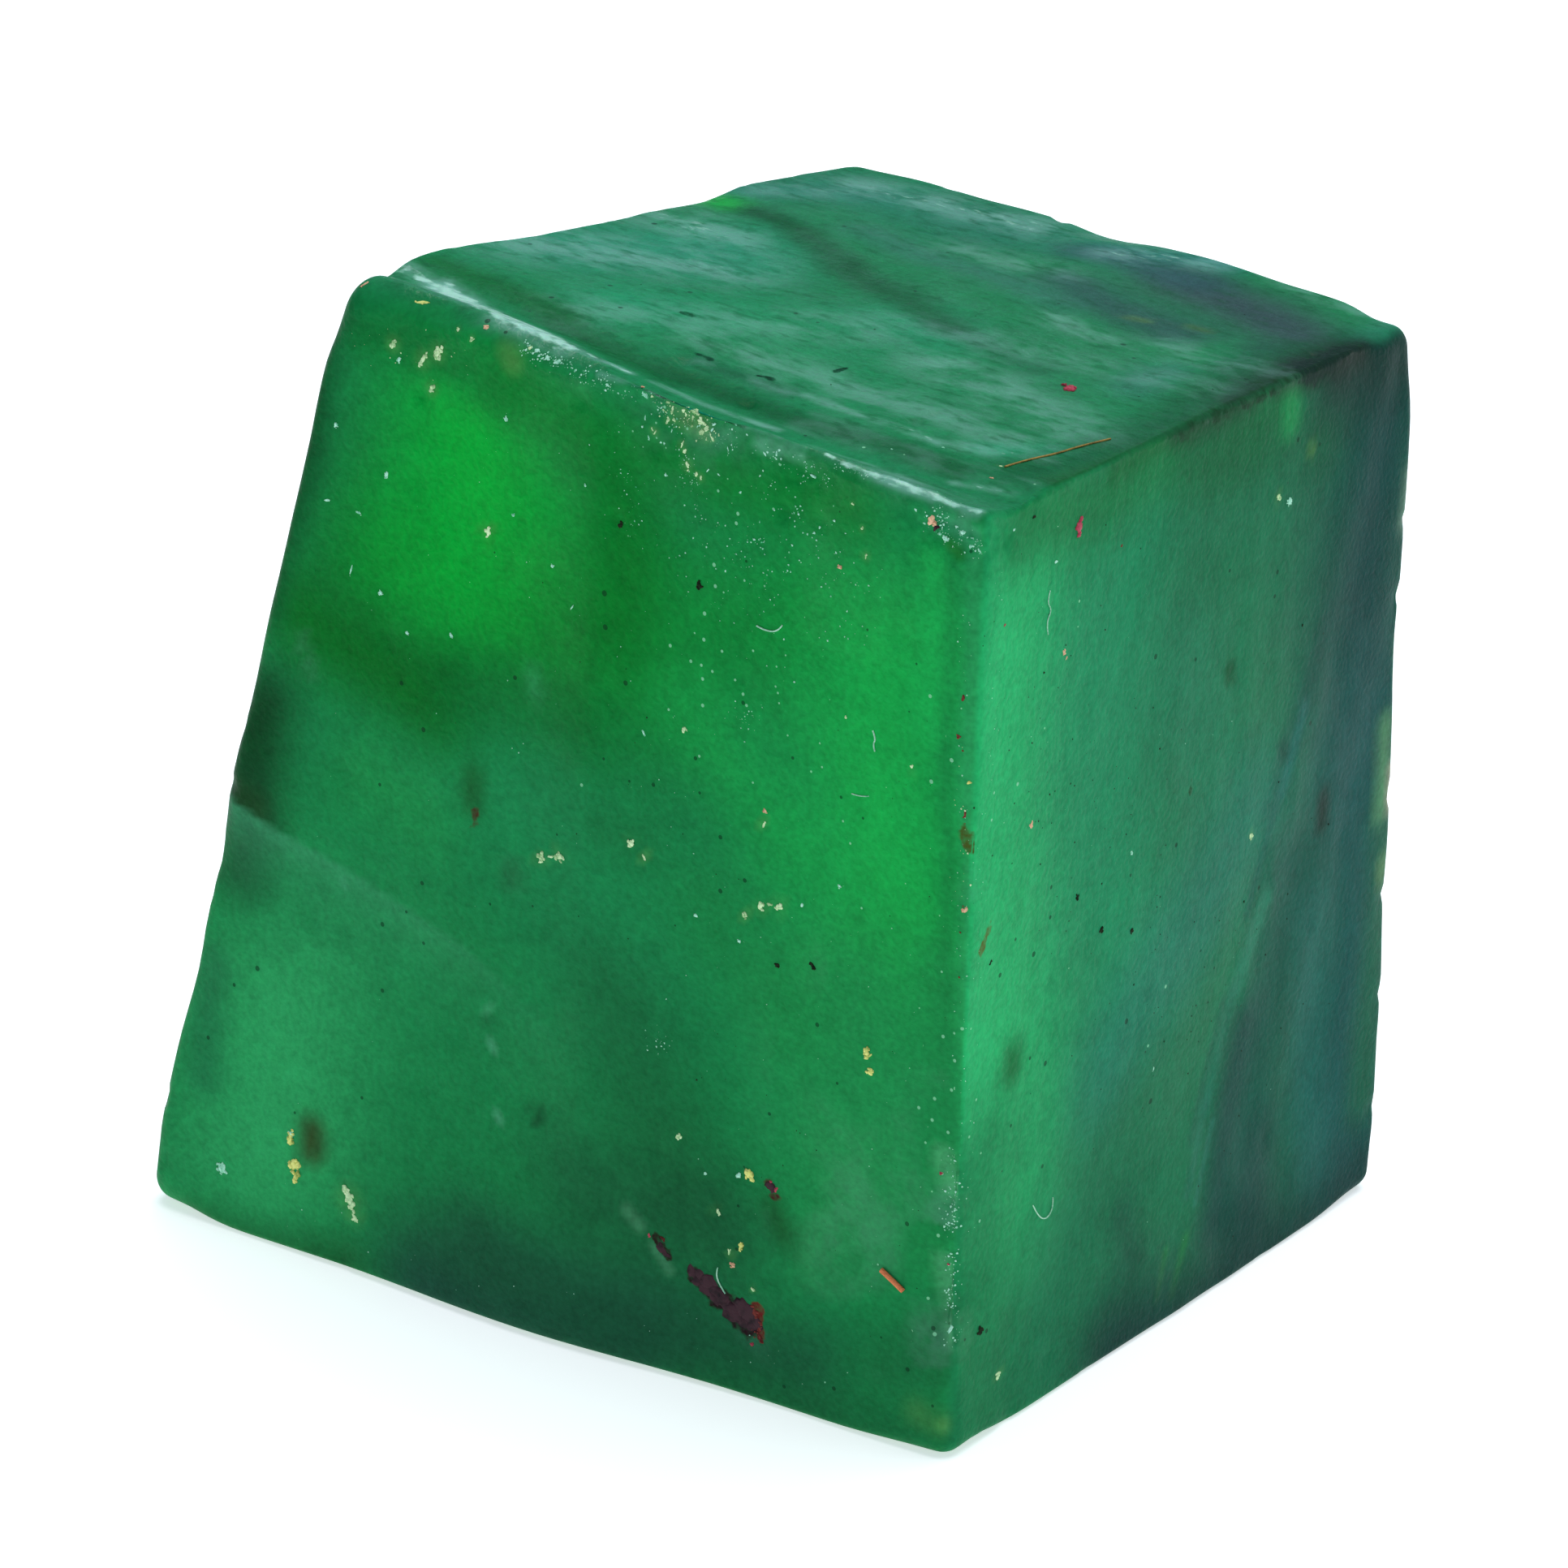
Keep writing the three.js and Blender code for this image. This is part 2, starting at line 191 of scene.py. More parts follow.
sides["right"] = {
    "facing": (1, 0, 0),
    "axes": (1, 2),
    "ground": "#1a744c",
    "tints": [
        ((13.4, 20), (13.2, 36), 9.4, "#0c443e", 1.0), ((13.6, 1), (13.4, 19), 8.4, "#14524c", 1.0),
        ((5.6, 2), (6.8, 16), 4.8, "#144e44", 0.75), ((-0.4, 27), (1.4, 23), 4.2, "#20885e", 0.5),
        # the mint tint at (-15.2, 33) is a painted glow where light shines through the corner by the front
        # edge
        ((-10, 34), (2, 31), 2.2, "#147448", 0.4), ((-15.2, 33), (-15, 10), 10.0, "#27b268", 1.0),
        ((-7.4, 34), (-5.4, 16), 6.4, "#1c9460", 0.65), ((-15, 11), (-14, 1), 6.0, "#1b7c4a", 0.8),
        ((-14, 36.6), (4, 36), 3.2, "#1a7840", 0.8), ((-2, 36.6), (8, 34), 3.0, "#125a38", 0.6),
        ((5.2, 36.9), (5.4, 35.6), 1.3, "#1f9450", 0.85), ((14.4, 35.6), (9, 36.8), 3.6, "#18382f", 0.9),
        ((14.6, 16), (14.8, 4), 2.4, "#1b6244", 0.8), ((9.8, 26.5), (5.4, 19.7), 1.3, "#1b4640", 0.4),
        ((4.6, 10.4), (3.2, 3.0), 2.2, "#17463e", 0.8), ((-3.6, 5.4), (-3.0, 3.6), 1.8, "#164e3c", 0.5),
        ((6.8, 5), (5.8, 2.4), 2.6, "#14443c", 0.65), ((5.7, 19.6), (4.0, 15.8), 0.5, "#1a5848", 0.6),
        ((2.6, 12.6), (0.9, 7.2), 0.5, "#1c5846", 0.5), ((5.3, 15.8), (3.6, 13.0), 0.9, "#2e8262", 0.7),
        ((3.3, 12.6), (1.9, 8.4), 0.7, "#28745c", 0.5), ((2.0, 8.8), (0.7, 5.0), 0.5, "#28705a", 0.5),
        ((2.3, 7.6), (1.2, 4.4), 0.26, "#327c68", 0.5), ((7.8, 23.4), (6.2, 20.2), 0.6, "#2a746a", 0.5),
        ((0.6, 3.2), (-0.4, 1.0), 0.4, "#2c8c48", 0.75), ((-0.8, 3.1), (-1.5, 1.2), 0.35, "#2c8c48", 0.7),
        ((-4, -0.4), (16, -1), 5.2, "#183c38", 0.9), ((-12.9, 15.4), (-12.9, 15.0), 1.3, "#12622f", 0.85),
        ((1.95, 26.9), (2.0, 26.5), 0.6, "#0c4822", 0.95), ((7.25, 34.2), (7.4, 34.0), 0.5, "#4c7c3c", 0.7),
        ((-6, 13), (4, 20), 4.6, "#28786a", 0.4), ((9, 14), (11, 3), 2.6, "#20665c", 0.5),
        ((9.7, 18.9), (9.6, 17.9), 0.9, "#192c22", 0.9), ((6.2, 22.1), (6.3, 21.8), 0.8, "#1a4036", 0.5),
        ((15.8, 30.6), (15.7, 29.0), 1.1, "#719078", 0.75),
        ((14.6, 20.4), (14.2, 16.8), 1.0, "#629a68", 0.7), ((15.1, 18.5), (15.0, 16.9), 0.6, "#b1a890", 0.8),
        ((14.6, 14.4), (14.6, 13.8), 0.8, "#628a58", 0.7), ((15.8, 24), (15.6, 4), 0.9, "#2e604c", 0.7),
        ((-7.6, 37.3), (-2, 37.5), 1.0, "#1c6a38", 0.8), ((-3.4, 37.5), (2.5, 37.5), 1.2, "#1e4e30", 0.85),
        ((4.4, 37.3), (7, 37.2), 1.1, "#1e442c", 0.85), ((7, 37.3), (11, 37.2), 1.5, "#1c2c22", 0.95),
    ],
    "stains": [
        ((-3.0, 37.5), (1.0, 37.5), 0.5, "#20462c", 0.5), ((1.6, 37.4), (4.6, 37.3), 0.42, "#22422c", 0.55),
        ((6.4, 37.2), (9.0, 37.2), 0.6, "#1c322a", 0.6),
        ((-0.85, 22.95), (-0.7, 22.75), 0.26, "#2a3a1c", 0.9),
        ((-15.4, 20.9), (-14.9, 21.8), 0.25, "#5a6a2c", 0.8),
    ],
    "polish": [((-16, 20), (-8, 20), 20.0, 0.06), ((4, 20), (14, 20), 20.0, 0.12)],
    "dust": [((-15.4, 30), (-15.4, 4), 1.4, 0.5), ((-13, 30), (2, 12), 8.0, 0.08)],
    "broken": [((-15.8, 37), (-15.2, 36.6), 0.8, 0.8)],
}
sides["top"] = {
    "facing": (0, 0, 1),
    "axes": (0, 1),
    "ground": "#1a824e",
    "tints": [
        # the paler tints that lie under the frost's patches are painted sheen
        ((-2, -9), (7, -2), 4.5, "#1c9a68", 0.7), ((-7.7, 8.2), (-5, 12), 2.6, "#2c8c70", 0.8),
        ((6, 13), (9.4, 15.4), 2.6, "#2a7c74", 0.8), ((16.6, -10.8), (18.4, -8.6), 1.4, "#1c9a68", 0.75),
        ((16.4, -1), (16.4, 2), 2.0, "#307c68", 0.5), ((-8, -4), (-4, 0), 7.0, "#249270", 0.7),
        ((-6, 12), (2, 13), 7.0, "#287860", 0.8), ((9, -8), (3, -5), 6.0, "#148a52", 0.7),
        # the dark tints from (-6.2, 6.0) to (12.6, -1.8) are painted shade on the scarp's riser
        ((-8.4, 6.6), (-7.2, 6.2), 1.5, "#12a840", 1.0), ((-6.2, 6.0), (-2.4, 4.8), 1.2, "#06582c", 0.95),
        ((-2.4, 4.6), (1, 3.0), 1.6, "#1c643c", 0.9), ((1, 2.8), (7.6, -0.6), 1.8, "#125e34", 0.9),
        ((7.6, -0.3), (12.6, -1.8), 1.4, "#0a6038", 0.6), ((-1, 7), (9, 5.5), 2.2, "#347862", 0.65),
        ((17.5, 9.8), (10.4, 12.0), 4.0, "#384e50", 0.95), ((10.4, 12.6), (5.6, 12.0), 2.6, "#30585a", 0.8),
        ((8, 8.0), (14, 6.4), 3.0, "#2c544e", 0.85), ((17.5, 7.5), (18.5, 4), 2.0, "#16503c", 0.7),
        ((11.4, 6.9), (12.0, 7.1), 0.5, "#547c44", 0.7), ((13.5, 8.0), (14.1, 8.1), 0.5, "#4c7240", 0.7),
        # the dark tints along the front rim, to (8, -11.4), are painted shade in the valley behind it
        ((-9.2, -10.6), (-2, -12.0), 1.5, "#066a2e", 0.95), ((-2, -12.4), (4, -13.4), 1.3, "#066430", 0.95),
        ((4, -13.2), (17, -13.3), 1.3, "#056030", 1.0), ((4, -11.6), (8, -11.4), 1.0, "#06643a", 0.7),
        ((19, -12), (19, 12), 2.2, "#085a30", 0.8), ((18.4, 14.6), (19.0, 12.0), 1.8, "#2a7c60", 0.7),
        ((20.1, -11.5), (20.2, -5.5), 1.0, "#1c5a2a", 0.7), ((20.2, -5.5), (20.0, 1), 1.1, "#1c502e", 0.8),
        ((20.0, 1), (19.4, 7), 1.5, "#1c3c28", 0.9), ((19.4, 7), (19.2, 11.5), 1.7, "#1a2a22", 0.95),
    ],
    "stains": [
        ((19.9, -2.2), (19.6, 3.0), 0.6, "#20462c", 0.45), ((19.5, 3.0), (19.2, 6.4), 0.7, "#22422c", 0.5),
        # the small dark green dashes from (3.6, -10.9) on are painted shade in the top's dimples
        ((19.3, 6.4), (19.1, 10.8), 0.9, "#1c322a", 0.6), ((3.6, -10.9), (4.1, -10.9), 0.24, "#0a4028", 0.8),
        ((6.2, -10.6), (6.7, -10.55), 0.26, "#0a3a24", 0.85),
        ((7.7, -7.9), (7.7, -7.2), 0.18, "#0a3a24", 0.9), ((0.4, -7.5), (0.8, -7.5), 0.26, "#0a5030", 0.8),
    ],
    # frost on the top, partly frosted wear and partly painted sheen in patches and a painted highlight along
    # the front rim
    "frost": [
        ((-10.2, -11.8), (-7.8, -12.4), 0.8, 0.85), ((-7.8, -12.4), (-5.3, -13.5), 1.0, 1.0),
        ((-5.3, -13.5), (-3.0, -14.25), 1.15, 1.0), ((-7.6, -12.05), (-5.1, -13.15), 0.8, 0.95),
        ((-5.1, -13.15), (-2.8, -13.9), 0.9, 1.0), ((-2.8, -13.9), (-0.6, -14.2), 0.7, 0.95),
        ((-3.0, -14.25), (0.2, -14.6), 1.0, 1.0), ((0.2, -14.6), (3.0, -14.5), 0.5, 0.8),
        ((4.0, -14.3), (9.7, -14.4), 0.4, 0.62), ((2.4, -15.5), (11, -16.0), 0.22, 0.5),
        ((12.0, -15.2), (17.2, -15.3), 0.8, 0.5), ((13.0, -15.95), (16.4, -16.1), 0.36, 1.0),
        ((16.4, -16.1), (19.8, -16.1), 0.38, 1.0), ((17.2, -13.9), (19.4, -13.3), 0.36, 0.62),
        ((-7.6, 9), (-6.6, 11), 2.0, 0.35), ((-2, -10.6), (6, -2.6), 3.0, 0.32),
        ((15.8, -11), (18, -9.8), 1.2, 0.5), ((6.6, 13.4), (9.4, 15.6), 2.2, 0.6),
        ((8.6, -10.9), (15, -11.5), 0.6, 0.6), ((-9, -5), (-3, -1), 4.5, 0.5),
        ((-8, 3), (-5, 2.4), 3.0, 0.55), ((4, -11.4), (8, -11.2), 0.9, 0.3), ((2, -9), (17, -9), 2.4, 0.4),
        ((-6, 13.4), (2, 14.5), 3.0, 0.58), ((2, 9), (6, 9), 2.5, 0.35), ((10, -4), (17, -6), 3.0, 0.45),
        ((9.6, 4), (12, 3.6), 1.6, 0.5), ((6, -1), (18, 1.5), 2.0, 0.3), ((14, 5), (18, 5), 2.4, 0.35),
        ((12, 16), (18, 14.6), 1.0, 0.4),
    ],
    "polish": [
        ((-6, 0), (14, 0), 22.0, 0.5), ((-9.4, -13.6), (1.4, -15.2), 1.8, 1.0),
        ((13, -16), (19.4, -15.2), 1.6, 1.0),
    ],
    "dust": [((14, -13), (19, -12), 2.0, 0.4)],
    "broken": [((13.6, -16.1), (19.2, -15.6), 0.7, 0.5)],
}
sides["left"] = {
    "facing": (-1, 0, 0),
    "axes": (1, 2),
    "ground": "#087c40",
    "tints": [
        # the bright tint at (-8, 30) is a painted glow where light shines through the stone
        ((-8, 30), (-6, 24), 8.0, "#06a040", 0.9), ((8, 30), (9, 18), 8.0, "#0b6844", 0.8),
        ((-2, 8), (6, 6), 8.0, "#19924e", 0.7), ((-15.5, 38), (-16.5, 4), 2.8, "#065026", 0.9),
        ((-16.2, 23), (-16.6, 17.5), 3.0, "#0f4a24", 0.8), ((12, 2), (-4, 0), 4.0, "#0c4c38", 0.8),
    ],
    "stains": [((4, 38), (7, 38), 0.8, "#244028", 0.6), ((-3, 1.2), (2, 1.4), 0.9, "#22382a", 0.6)],
    # frost along the top edge, with painted sheen on it
    "frost": [((-6, 39.6), (6, 38.8), 0.6, 0.4)],
    "polish": [((-8, 20), (8, 20), 20.0, 0.15)],
    "dust": [((-6, 20), (6, 12), 12.0, 0.4)],
    "broken": [((-14, 10), (-15, 16), 1.4, 0.6)],
}
sides["back"] = {
    "facing": (0, 1, 0),
    "axes": (0, 2),
    "ground": "#087648",
    "tints": [
        ((15, 30), (13, 10), 9.0, "#08584a", 0.9), ((19.2, 37), (19.4, 3), 3.4, "#114a44", 0.85),
        ((20.0, 30.4), (20.0, 29.2), 1.0, "#719078", 0.7),
        ((20.2, 19.8), (20.2, 17.2), 1.0, "#629a68", 0.65),
        # the bright tint at (-6, 30) is a painted glow where light shines through the stone
        ((20.2, 14.4), (20.2, 13.8), 0.8, "#628a58", 0.6), ((-6, 30), (-9, 20), 8.0, "#099a48", 0.8),
        ((2, 10), (-8, 5), 7.0, "#168858", 0.7), ((0, 0), (16, 0), 4.0, "#07443e", 0.8),
    ],
    "stains": [((9.4, 9.4), (10.4, 10.2), 0.6, "#2c1c1e", 0.85), ((-7, 1), (-2, 1.6), 1.0, "#22382a", 0.6)],
    # frost along the top edge, with painted sheen on it
    "frost": [((-4, 38.4), (10, 37.6), 0.5, 0.4)],
    "polish": [((-8, 20), (10, 20), 20.0, 0.15)],
    "dust": [((-6, 20), (8, 12), 12.0, 0.4)],
    "broken": [((-6, 0.8), (-2, 1.6), 1.2, 0.8)],
}

# Single crumbs, flakes and specks: place in mm, length and width in mm, the turn of the length in degrees,
# and the side where that isn't the front.
crumbs = {
    "clayDried": [
        ((-2.7, 32.5), 0.5, 0.22, 80), ((-7.6, 38.85), 0.55, 0.24, 75), ((-6.1, 38.55), 0.6, 0.26, 62),
        ((-5.35, 38.95), 0.62, 0.34, 60), ((-5.6, 37.5), 0.45, 0.2, 60), ((-3.7, 39.85), 0.22, 0.18, 0),
        ((-4.5, 40.0), 0.2, 0.16, 0), ((-1.05, 39.95), 0.22, 0.19, 0), ((4.93, 39.34), 0.15, 0.12, 0),
        ((5.65, 39.24), 0.17, 0.12, 0), ((5.83, 39.02), 0.32, 0.13, 85), ((5.64, 38.55), 0.27, 0.14, 50),
        ((5.92, 38.6), 0.22, 0.12, -50), ((6.3, 39.05), 0.22, 0.16, 30), ((6.42, 38.9), 0.15, 0.12, 0),
        ((6.72, 39.2), 0.25, 0.2, 10), ((6.95, 39.12), 0.25, 0.22, 60), ((6.75, 38.85), 0.3, 0.1, 85),
        ((6.77, 38.56), 0.14, 0.12, 0), ((7.15, 38.82), 0.42, 0.22, -20), ((7.42, 38.62), 0.3, 0.2, 40),
        ((7.22, 38.42), 0.32, 0.2, 10), ((7.8, 38.28), 0.18, 0.15, 0), ((6.42, 37.8), 0.32, 0.09, 75),
        ((6.56, 37.58), 0.2, 0.16, 0), ((6.73, 37.1), 0.42, 0.18, -65), ((7.17, 36.86), 0.19, 0.16, 0),
        ((7.38, 36.76), 0.27, 0.1, 80), ((5.15, 38.02), 0.27, 0.08, 60), ((5.0, 38.1), 0.19, 0.07, -50),
        ((14.46, 37.33), 0.15, 0.1, -10), ((14.93, 36.5), 0.19, 0.12, 30), ((15.14, 35.5), 0.3, 0.08, 80),
        ((17.8, -11.7), 0.14, 0.12, 0, "top"), ((-9.3, 3.2), 1.0, 0.42, -60), ((-9.0, 2.5), 0.5, 0.26, -50),
        ((0.1, 20.05), 0.42, 0.34, 80), ((0.55, 20.2), 0.3, 0.14, 0), ((1.0, 20.3), 0.42, 0.34, 20),
        ((4.4, 21.65), 0.34, 0.3, 0), ((5.0, 21.25), 0.4, 0.12, -50), ((6.8, 26.8), 0.24, 0.2, 0),
        ((10.4, 20.6), 0.4, 0.3, 85), ((10.8, 20.75), 0.3, 0.14, 0), ((11.25, 20.75), 0.42, 0.26, 10),
        ((9.65, 20.0), 0.3, 0.24, 0), ((10.28, 4.74), 0.22, 0.18, 0), ((8.64, 7.55), 0.28, 0.2, -40),
        ((9.15, 6.0), 0.3, 0.16, 70), ((17.35, 27.9), 0.16, 0.14, 0), ((14.35, 29.1), 0.14, 0.12, 0),
        ((10.55, 23.9), 0.3, 0.14, 70), ((6.7, 10.2), 0.3, 0.2, 40), ((4.85, 32.9), 0.34, 0.28, 0, "right"),
        ((-12.7, 2.4), 0.3, 0.28, 0, "right"), ((4.0, 19.2), 0.26, 0.24, 0, "right"),
    ],
    "feldsparPink": [
        ((9.32, 5.51), 0.26, 0.2, 60), ((-3.3, 40.3), 0.3, 0.22, 0), ((-9.5, 40.7), 0.5, 0.16, 40),
        ((17.95, 37.4), 0.3, 0.36, 20), ((4.4, -15.5), 0.2, 0.16, 0, "top"), ((10.6, 24.5), 0.26, 0.16, -40),
        ((-10.6, 31.2), 0.24, 0.2, 0, "right"), ((-10.4, 30.9), 0.2, 0.1, 40, "right"),
        ((-12.4, 24.95), 0.34, 0.2, 70, "right"), ((13.98, 34.82), 0.22, 0.2, 0),
        ((19.7, 22.8), 0.24, 0.2, 0), ((18.15, -12.8), 0.16, 0.14, 0, "top"),
    ],
    "berylCrushed": [
        ((-1.9, 37.1), 0.22, 0.2, 0), ((-4.4, 28.0), 0.24, 0.2, 0), ((4.9, 26.2), 0.36, 0.14, -55),
        ((7.4, 19.45), 0.22, 0.18, 0), ((12.3, 21.1), 0.22, 0.16, 80), ((14.0, 22.3), 0.2, 0.18, 0),
        ((9.4, 18.9), 0.2, 0.16, 0), ((9.5, 9.3), 0.3, 0.22, 0), ((8.0, 9.0), 0.2, 0.18, 0),
        ((19.1, 5.5), 0.4, 0.2, 70), ((18.55, 36.88), 0.34, 0.2, -30), ((18.3, 37.0), 0.2, 0.14, 0),
        ((19.2, 37.2), 0.36, 0.2, 20), ((18.9, 37.35), 0.22, 0.1, 0), ((19.6, 36.8), 0.24, 0.18, 0),
        ((19.95, 36.7), 0.26, 0.14, -30), ((17.63, 37.26), 0.16, 0.12, 0), ((17.26, 37.71), 0.14, 0.12, 0),
        ((10.34, 38.3), 0.36, 0.1, -50), ((10.46, 38.4), 0.2, 0.1, 0), ((10.9, 38.45), 0.3, 0.08, 80),
        ((11.02, 38.6), 0.16, 0.12, 0), ((12.6, 37.95), 0.4, 0.16, -10), ((-0.69, 39.92), 0.26, 0.2, 0),
        ((-0.12, 39.77), 0.22, 0.2, 90), ((0.4, 39.72), 0.34, 0.26, 20), ((1.3, 39.6), 0.16, 0.14, 0),
        ((2.9, 39.4), 0.2, 0.14, 0), ((4.6, 39.3), 0.38, 0.2, -40), ((7.76, 38.82), 0.24, 0.14, 30),
        ((7.72, 38.62), 0.2, 0.14, 60), ((4.53, 38.1), 0.13, 0.1, 0), ((4.85, 37.73), 0.28, 0.08, -80),
        ((4.64, 38.47), 0.28, 0.07, 85), ((5.4, 37.67), 0.13, 0.11, 0), ((5.57, 37.69), 0.13, 0.11, 0),
        ((5.7, 36.5), 0.17, 0.14, 0), ((5.88, 38.2), 0.17, 0.07, 85), ((8.89, 39.06), 0.12, 0.1, 0),
        ((8.72, 38.87), 0.14, 0.1, 0), ((9.47, 38.85), 0.14, 0.1, 0), ((8.58, 38.11), 0.22, 0.06, -70),
        ((7.7, 37.1), 0.28, 0.08, 50), ((8.23, 37.07), 0.17, 0.08, -30), ((9.29, 36.62), 0.14, 0.12, 0),
        ((15.3, -11.8), 0.17, 0.14, 0, "top"), ((14.0, -13.2), 0.13, 0.1, 0, "top"),
        ((-7.3, 38.3), 0.3, 0.2, 60), ((-12.4, 5.2), 0.34, 0.28, 0), ((-16.0, 2.7), 0.5, 0.46, 0),
        ((5.7, 32.5), 0.36, 0.34, 0, "right"), ((-11.55, 35.0), 0.22, 0.18, 0, "right"),
        ((-14.6, 37.1), 0.16, 0.14, 0, "right"), ((-5.0, 21.4), 0.2, 0.2, 0, "right"),
        ((-2.6, 11.6), 0.24, 0.1, 70, "right"), ((-10.4, 35.1), 0.26, 0.2, 80),
        ((-7.8, 33.65), 0.3, 0.22, 70), ((-10.8, 32.0), 0.42, 0.14, 10), ((-9.2, 31.85), 0.36, 0.14, -10),
        ((-8.0, 28.9), 0.24, 0.2, 0), ((-6.6, 27.6), 0.22, 0.18, 0), ((-9.5, 29.5), 0.6, 0.1, 75),
        ((-1.5, 33.4), 0.2, 0.16, 0), ((0.4, 31.8), 0.2, 0.16, 0), ((1.4, 30.4), 0.34, 0.09, 55),
        ((1.95, 35.3), 0.16, 0.14, 0),
    ],
    "limoniteEarthy": [
        ((-6.6, 40.55), 0.7, 0.15, 4), ((-12.2, 3.9), 0.6, 0.5, 80), ((-12.1, 3.4), 0.5, 0.34, 70),
        ((-12.4, 5.0), 0.7, 0.3, 80), ((10.0, 9.5), 0.6, 0.38, -30), ((15.3, 15.9), 0.4, 0.36, 0),
        ((15.5, 15.2), 0.4, 0.26, 60), ((9.72, 6.42), 0.5, 0.22, 60), ((19.9, 27.9), 0.2, 0.16, 0),
    ],
    "haematiteCrusted": [
        ((7.65, 4.45), 0.9, 0.46, -35), ((8.25, 4.1), 1.2, 0.7, -32), ((8.95, 3.75), 1.2, 0.8, -32),
        ((9.5, 3.45), 1.2, 0.95, -35), ((10.05, 3.3), 0.8, 0.9, -60), ((6.1, 5.4), 0.8, 0.22, -52),
        ((18.14, 37.2), 0.2, 0.14, 60), ((11.0, 9.15), 0.4, 0.3, 10),
    ],
    "haematitePowdered": [
        ((10.3, 3.75), 0.6, 0.26, -70), ((10.5, 3.2), 0.7, 0.24, -85), ((10.58, 2.72), 0.32, 0.22, -50),
        ((6.12, 5.75), 0.3, 0.16, -50), ((19.6, 31.1), 0.34, 0.16, 80), ((19.4, 29.6), 0.24, 0.16, 0),
        ((19.7, 26.6), 0.4, 0.12, 85), ((-6.7, 34.2), 0.16, 0.12, 0, "right"),
    ],
    "soilPacked": [
        ((-14.2, 4.9), 0.4, 0.3, 20, "right"), ((11.15, 18.4), 0.32, 0.2, 0), ((12.8, 18.8), 0.3, 0.22, -40),
        ((-6.85, 18.85), 0.26, 0.22, 0, "right"), ((-4.8, 18.15), 0.24, 0.2, 0, "right"),
        ((-8.7, 20.8), 0.26, 0.2, 30, "right"), ((-14.6, 20.2), 0.3, 0.14, 60, "right"),
        ((3.6, 34.1), 0.3, 0.26, 0), ((7.4, 32.6), 0.34, 0.3, 0), ((-13.2, 37.2), 0.26, 0.16, 0, "right"),
    ],
    "lacquerFlaked": [
        ((-9.9, 35.85), 0.72, 0.36, 84, "right"), ((14.7, -2.5), 0.66, 0.5, -20, "top"),
        ((19.0, 8.2), 0.16, 0.14, 0), ((11.25, 9.2), 0.3, 0.14, 60), ((11.0, 9.45), 0.18, 0.12, 0),
        ((18.65, 11.9), 0.16, 0.12, 0), ((5.5, 5.75), 0.2, 0.14, -50), ((10.15, 2.35), 0.24, 0.18, 0),
        ((-15.0, 33.6), 0.16, 0.12, 0, "right"),
    ],
}


def crumbsOf(kind):
    for spot, length, width, turn, *elsewhere in crumbs[kind]:
        yield elsewhere[0] if elsewhere else "front", spot, length, width, turn


paint = {
    "wander": 0.6,  # mm that a stroke's outline strays
    "wanderLength": 3.4,  # mm from one stray to the next
    "steadyBelow": 3,  # mm of reach; a smaller mark strays less
    "blend": 4,  # how suddenly one side's colours give way to the next side's round an edge
    "wearBlend": 0.5,  # the same for polish and for frost with its painted sheen, which run on round an edge
    "stainReach": 1.6,  # times a stain's own reach, since its rim is broken up
    "stainColourReach": 2.5,
    "haloColour": "#5ca254",  # dust round a clay crumb
    "haloStrength": 0.45,
    "haloReach": 1.1,  # times the crumb's length
}

# Face sides in mm. The mesh is finest where an edge, a ridge or a mark is: from, to, reach, longest side.
meshSides = {
    "longest": 0.6,
    "merged": 0.002,  # points nearer than this are one
    "quadAngle": 60,  # degrees that two triangles of a quad may lie out of plane or square
    "footBelow": 0.01,  # the foot stays flat and coarse
    "finer": [
        ((-10, -15, 41), (20, -16, 38), 2.6, 0.16),
        ((-10, -13, 41), (20, -13, 38), 6.0, 0.3),
        ((20, -16, 38), (19.6, -15.6, 0), 1.3, 0.26),
        ((4.4, -16, 6.4), (11, -16, 3), 1.6, 0.24),
        ((-7.5, -16, 38.8), (8, -16, 38), 1.8, 0.24),
        ((-16, -16, 18.6), (-3, -16, 15.4), 1.8, 0.3),
        ((20.2, -8, 38), (19.4, 12, 37.4), 1.4, 0.3),
        ((20, 7, 22), (20, -1, 2), 1.8, 0.3),
    ],
}


def allowedSide(place):
    side = meshSides["longest"]
    for start, end, reach, finer in meshSides["finer"]:
        nearest, share = intersect_point_line(place, start, end)
        nearest = Vector(start).lerp(end, min(max(share, 0), 1))
        if (nearest - place).length < reach:
            side = min(side, finer)
    return side


def blankMesh():
    # the solid's own faces as even quads, smoothed once and then halved until no side is too long
    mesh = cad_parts["emerald"].data.copy()
    angle = radians(meshSides["quadAngle"])
    work = bmesh.new()
    work.from_mesh(mesh)
    bmesh.ops.remove_doubles(work, verts=work.verts, dist=meshSides["merged"] * mm)
    bmesh.ops.join_triangles(work, faces=work.faces, angle_face_threshold=angle, angle_shape_threshold=angle)
    bmesh.ops.recalc_face_normals(work, faces=work.faces)
    work.to_mesh(mesh)
    work.free()
    mesh.materials.clear()
    blank = newObject("stoneBlank", mesh)
    divide = blank.modifiers.new("Smooth", "SUBSURF")
    divide.levels = divide.render_levels = 1
    mesh = bakedMesh(blank, "stoneBlank")

    work = bmesh.new()
    work.from_mesh(mesh)
    while True:
        tooLong = []
        for edge in work.edges:
            middle = (edge.verts[0].co + edge.verts[1].co) / (2 * mm)
            if middle.z > meshSides["footBelow"] and edge.calc_length() > allowedSide(middle) * mm:
                tooLong.append(edge)
        if not tooLong:
            break
        bmesh.ops.subdivide_edges(work, edges=tooLong, cuts=1, use_grid_fill=True)
    work.to_mesh(mesh)
    work.free()
    return mesh


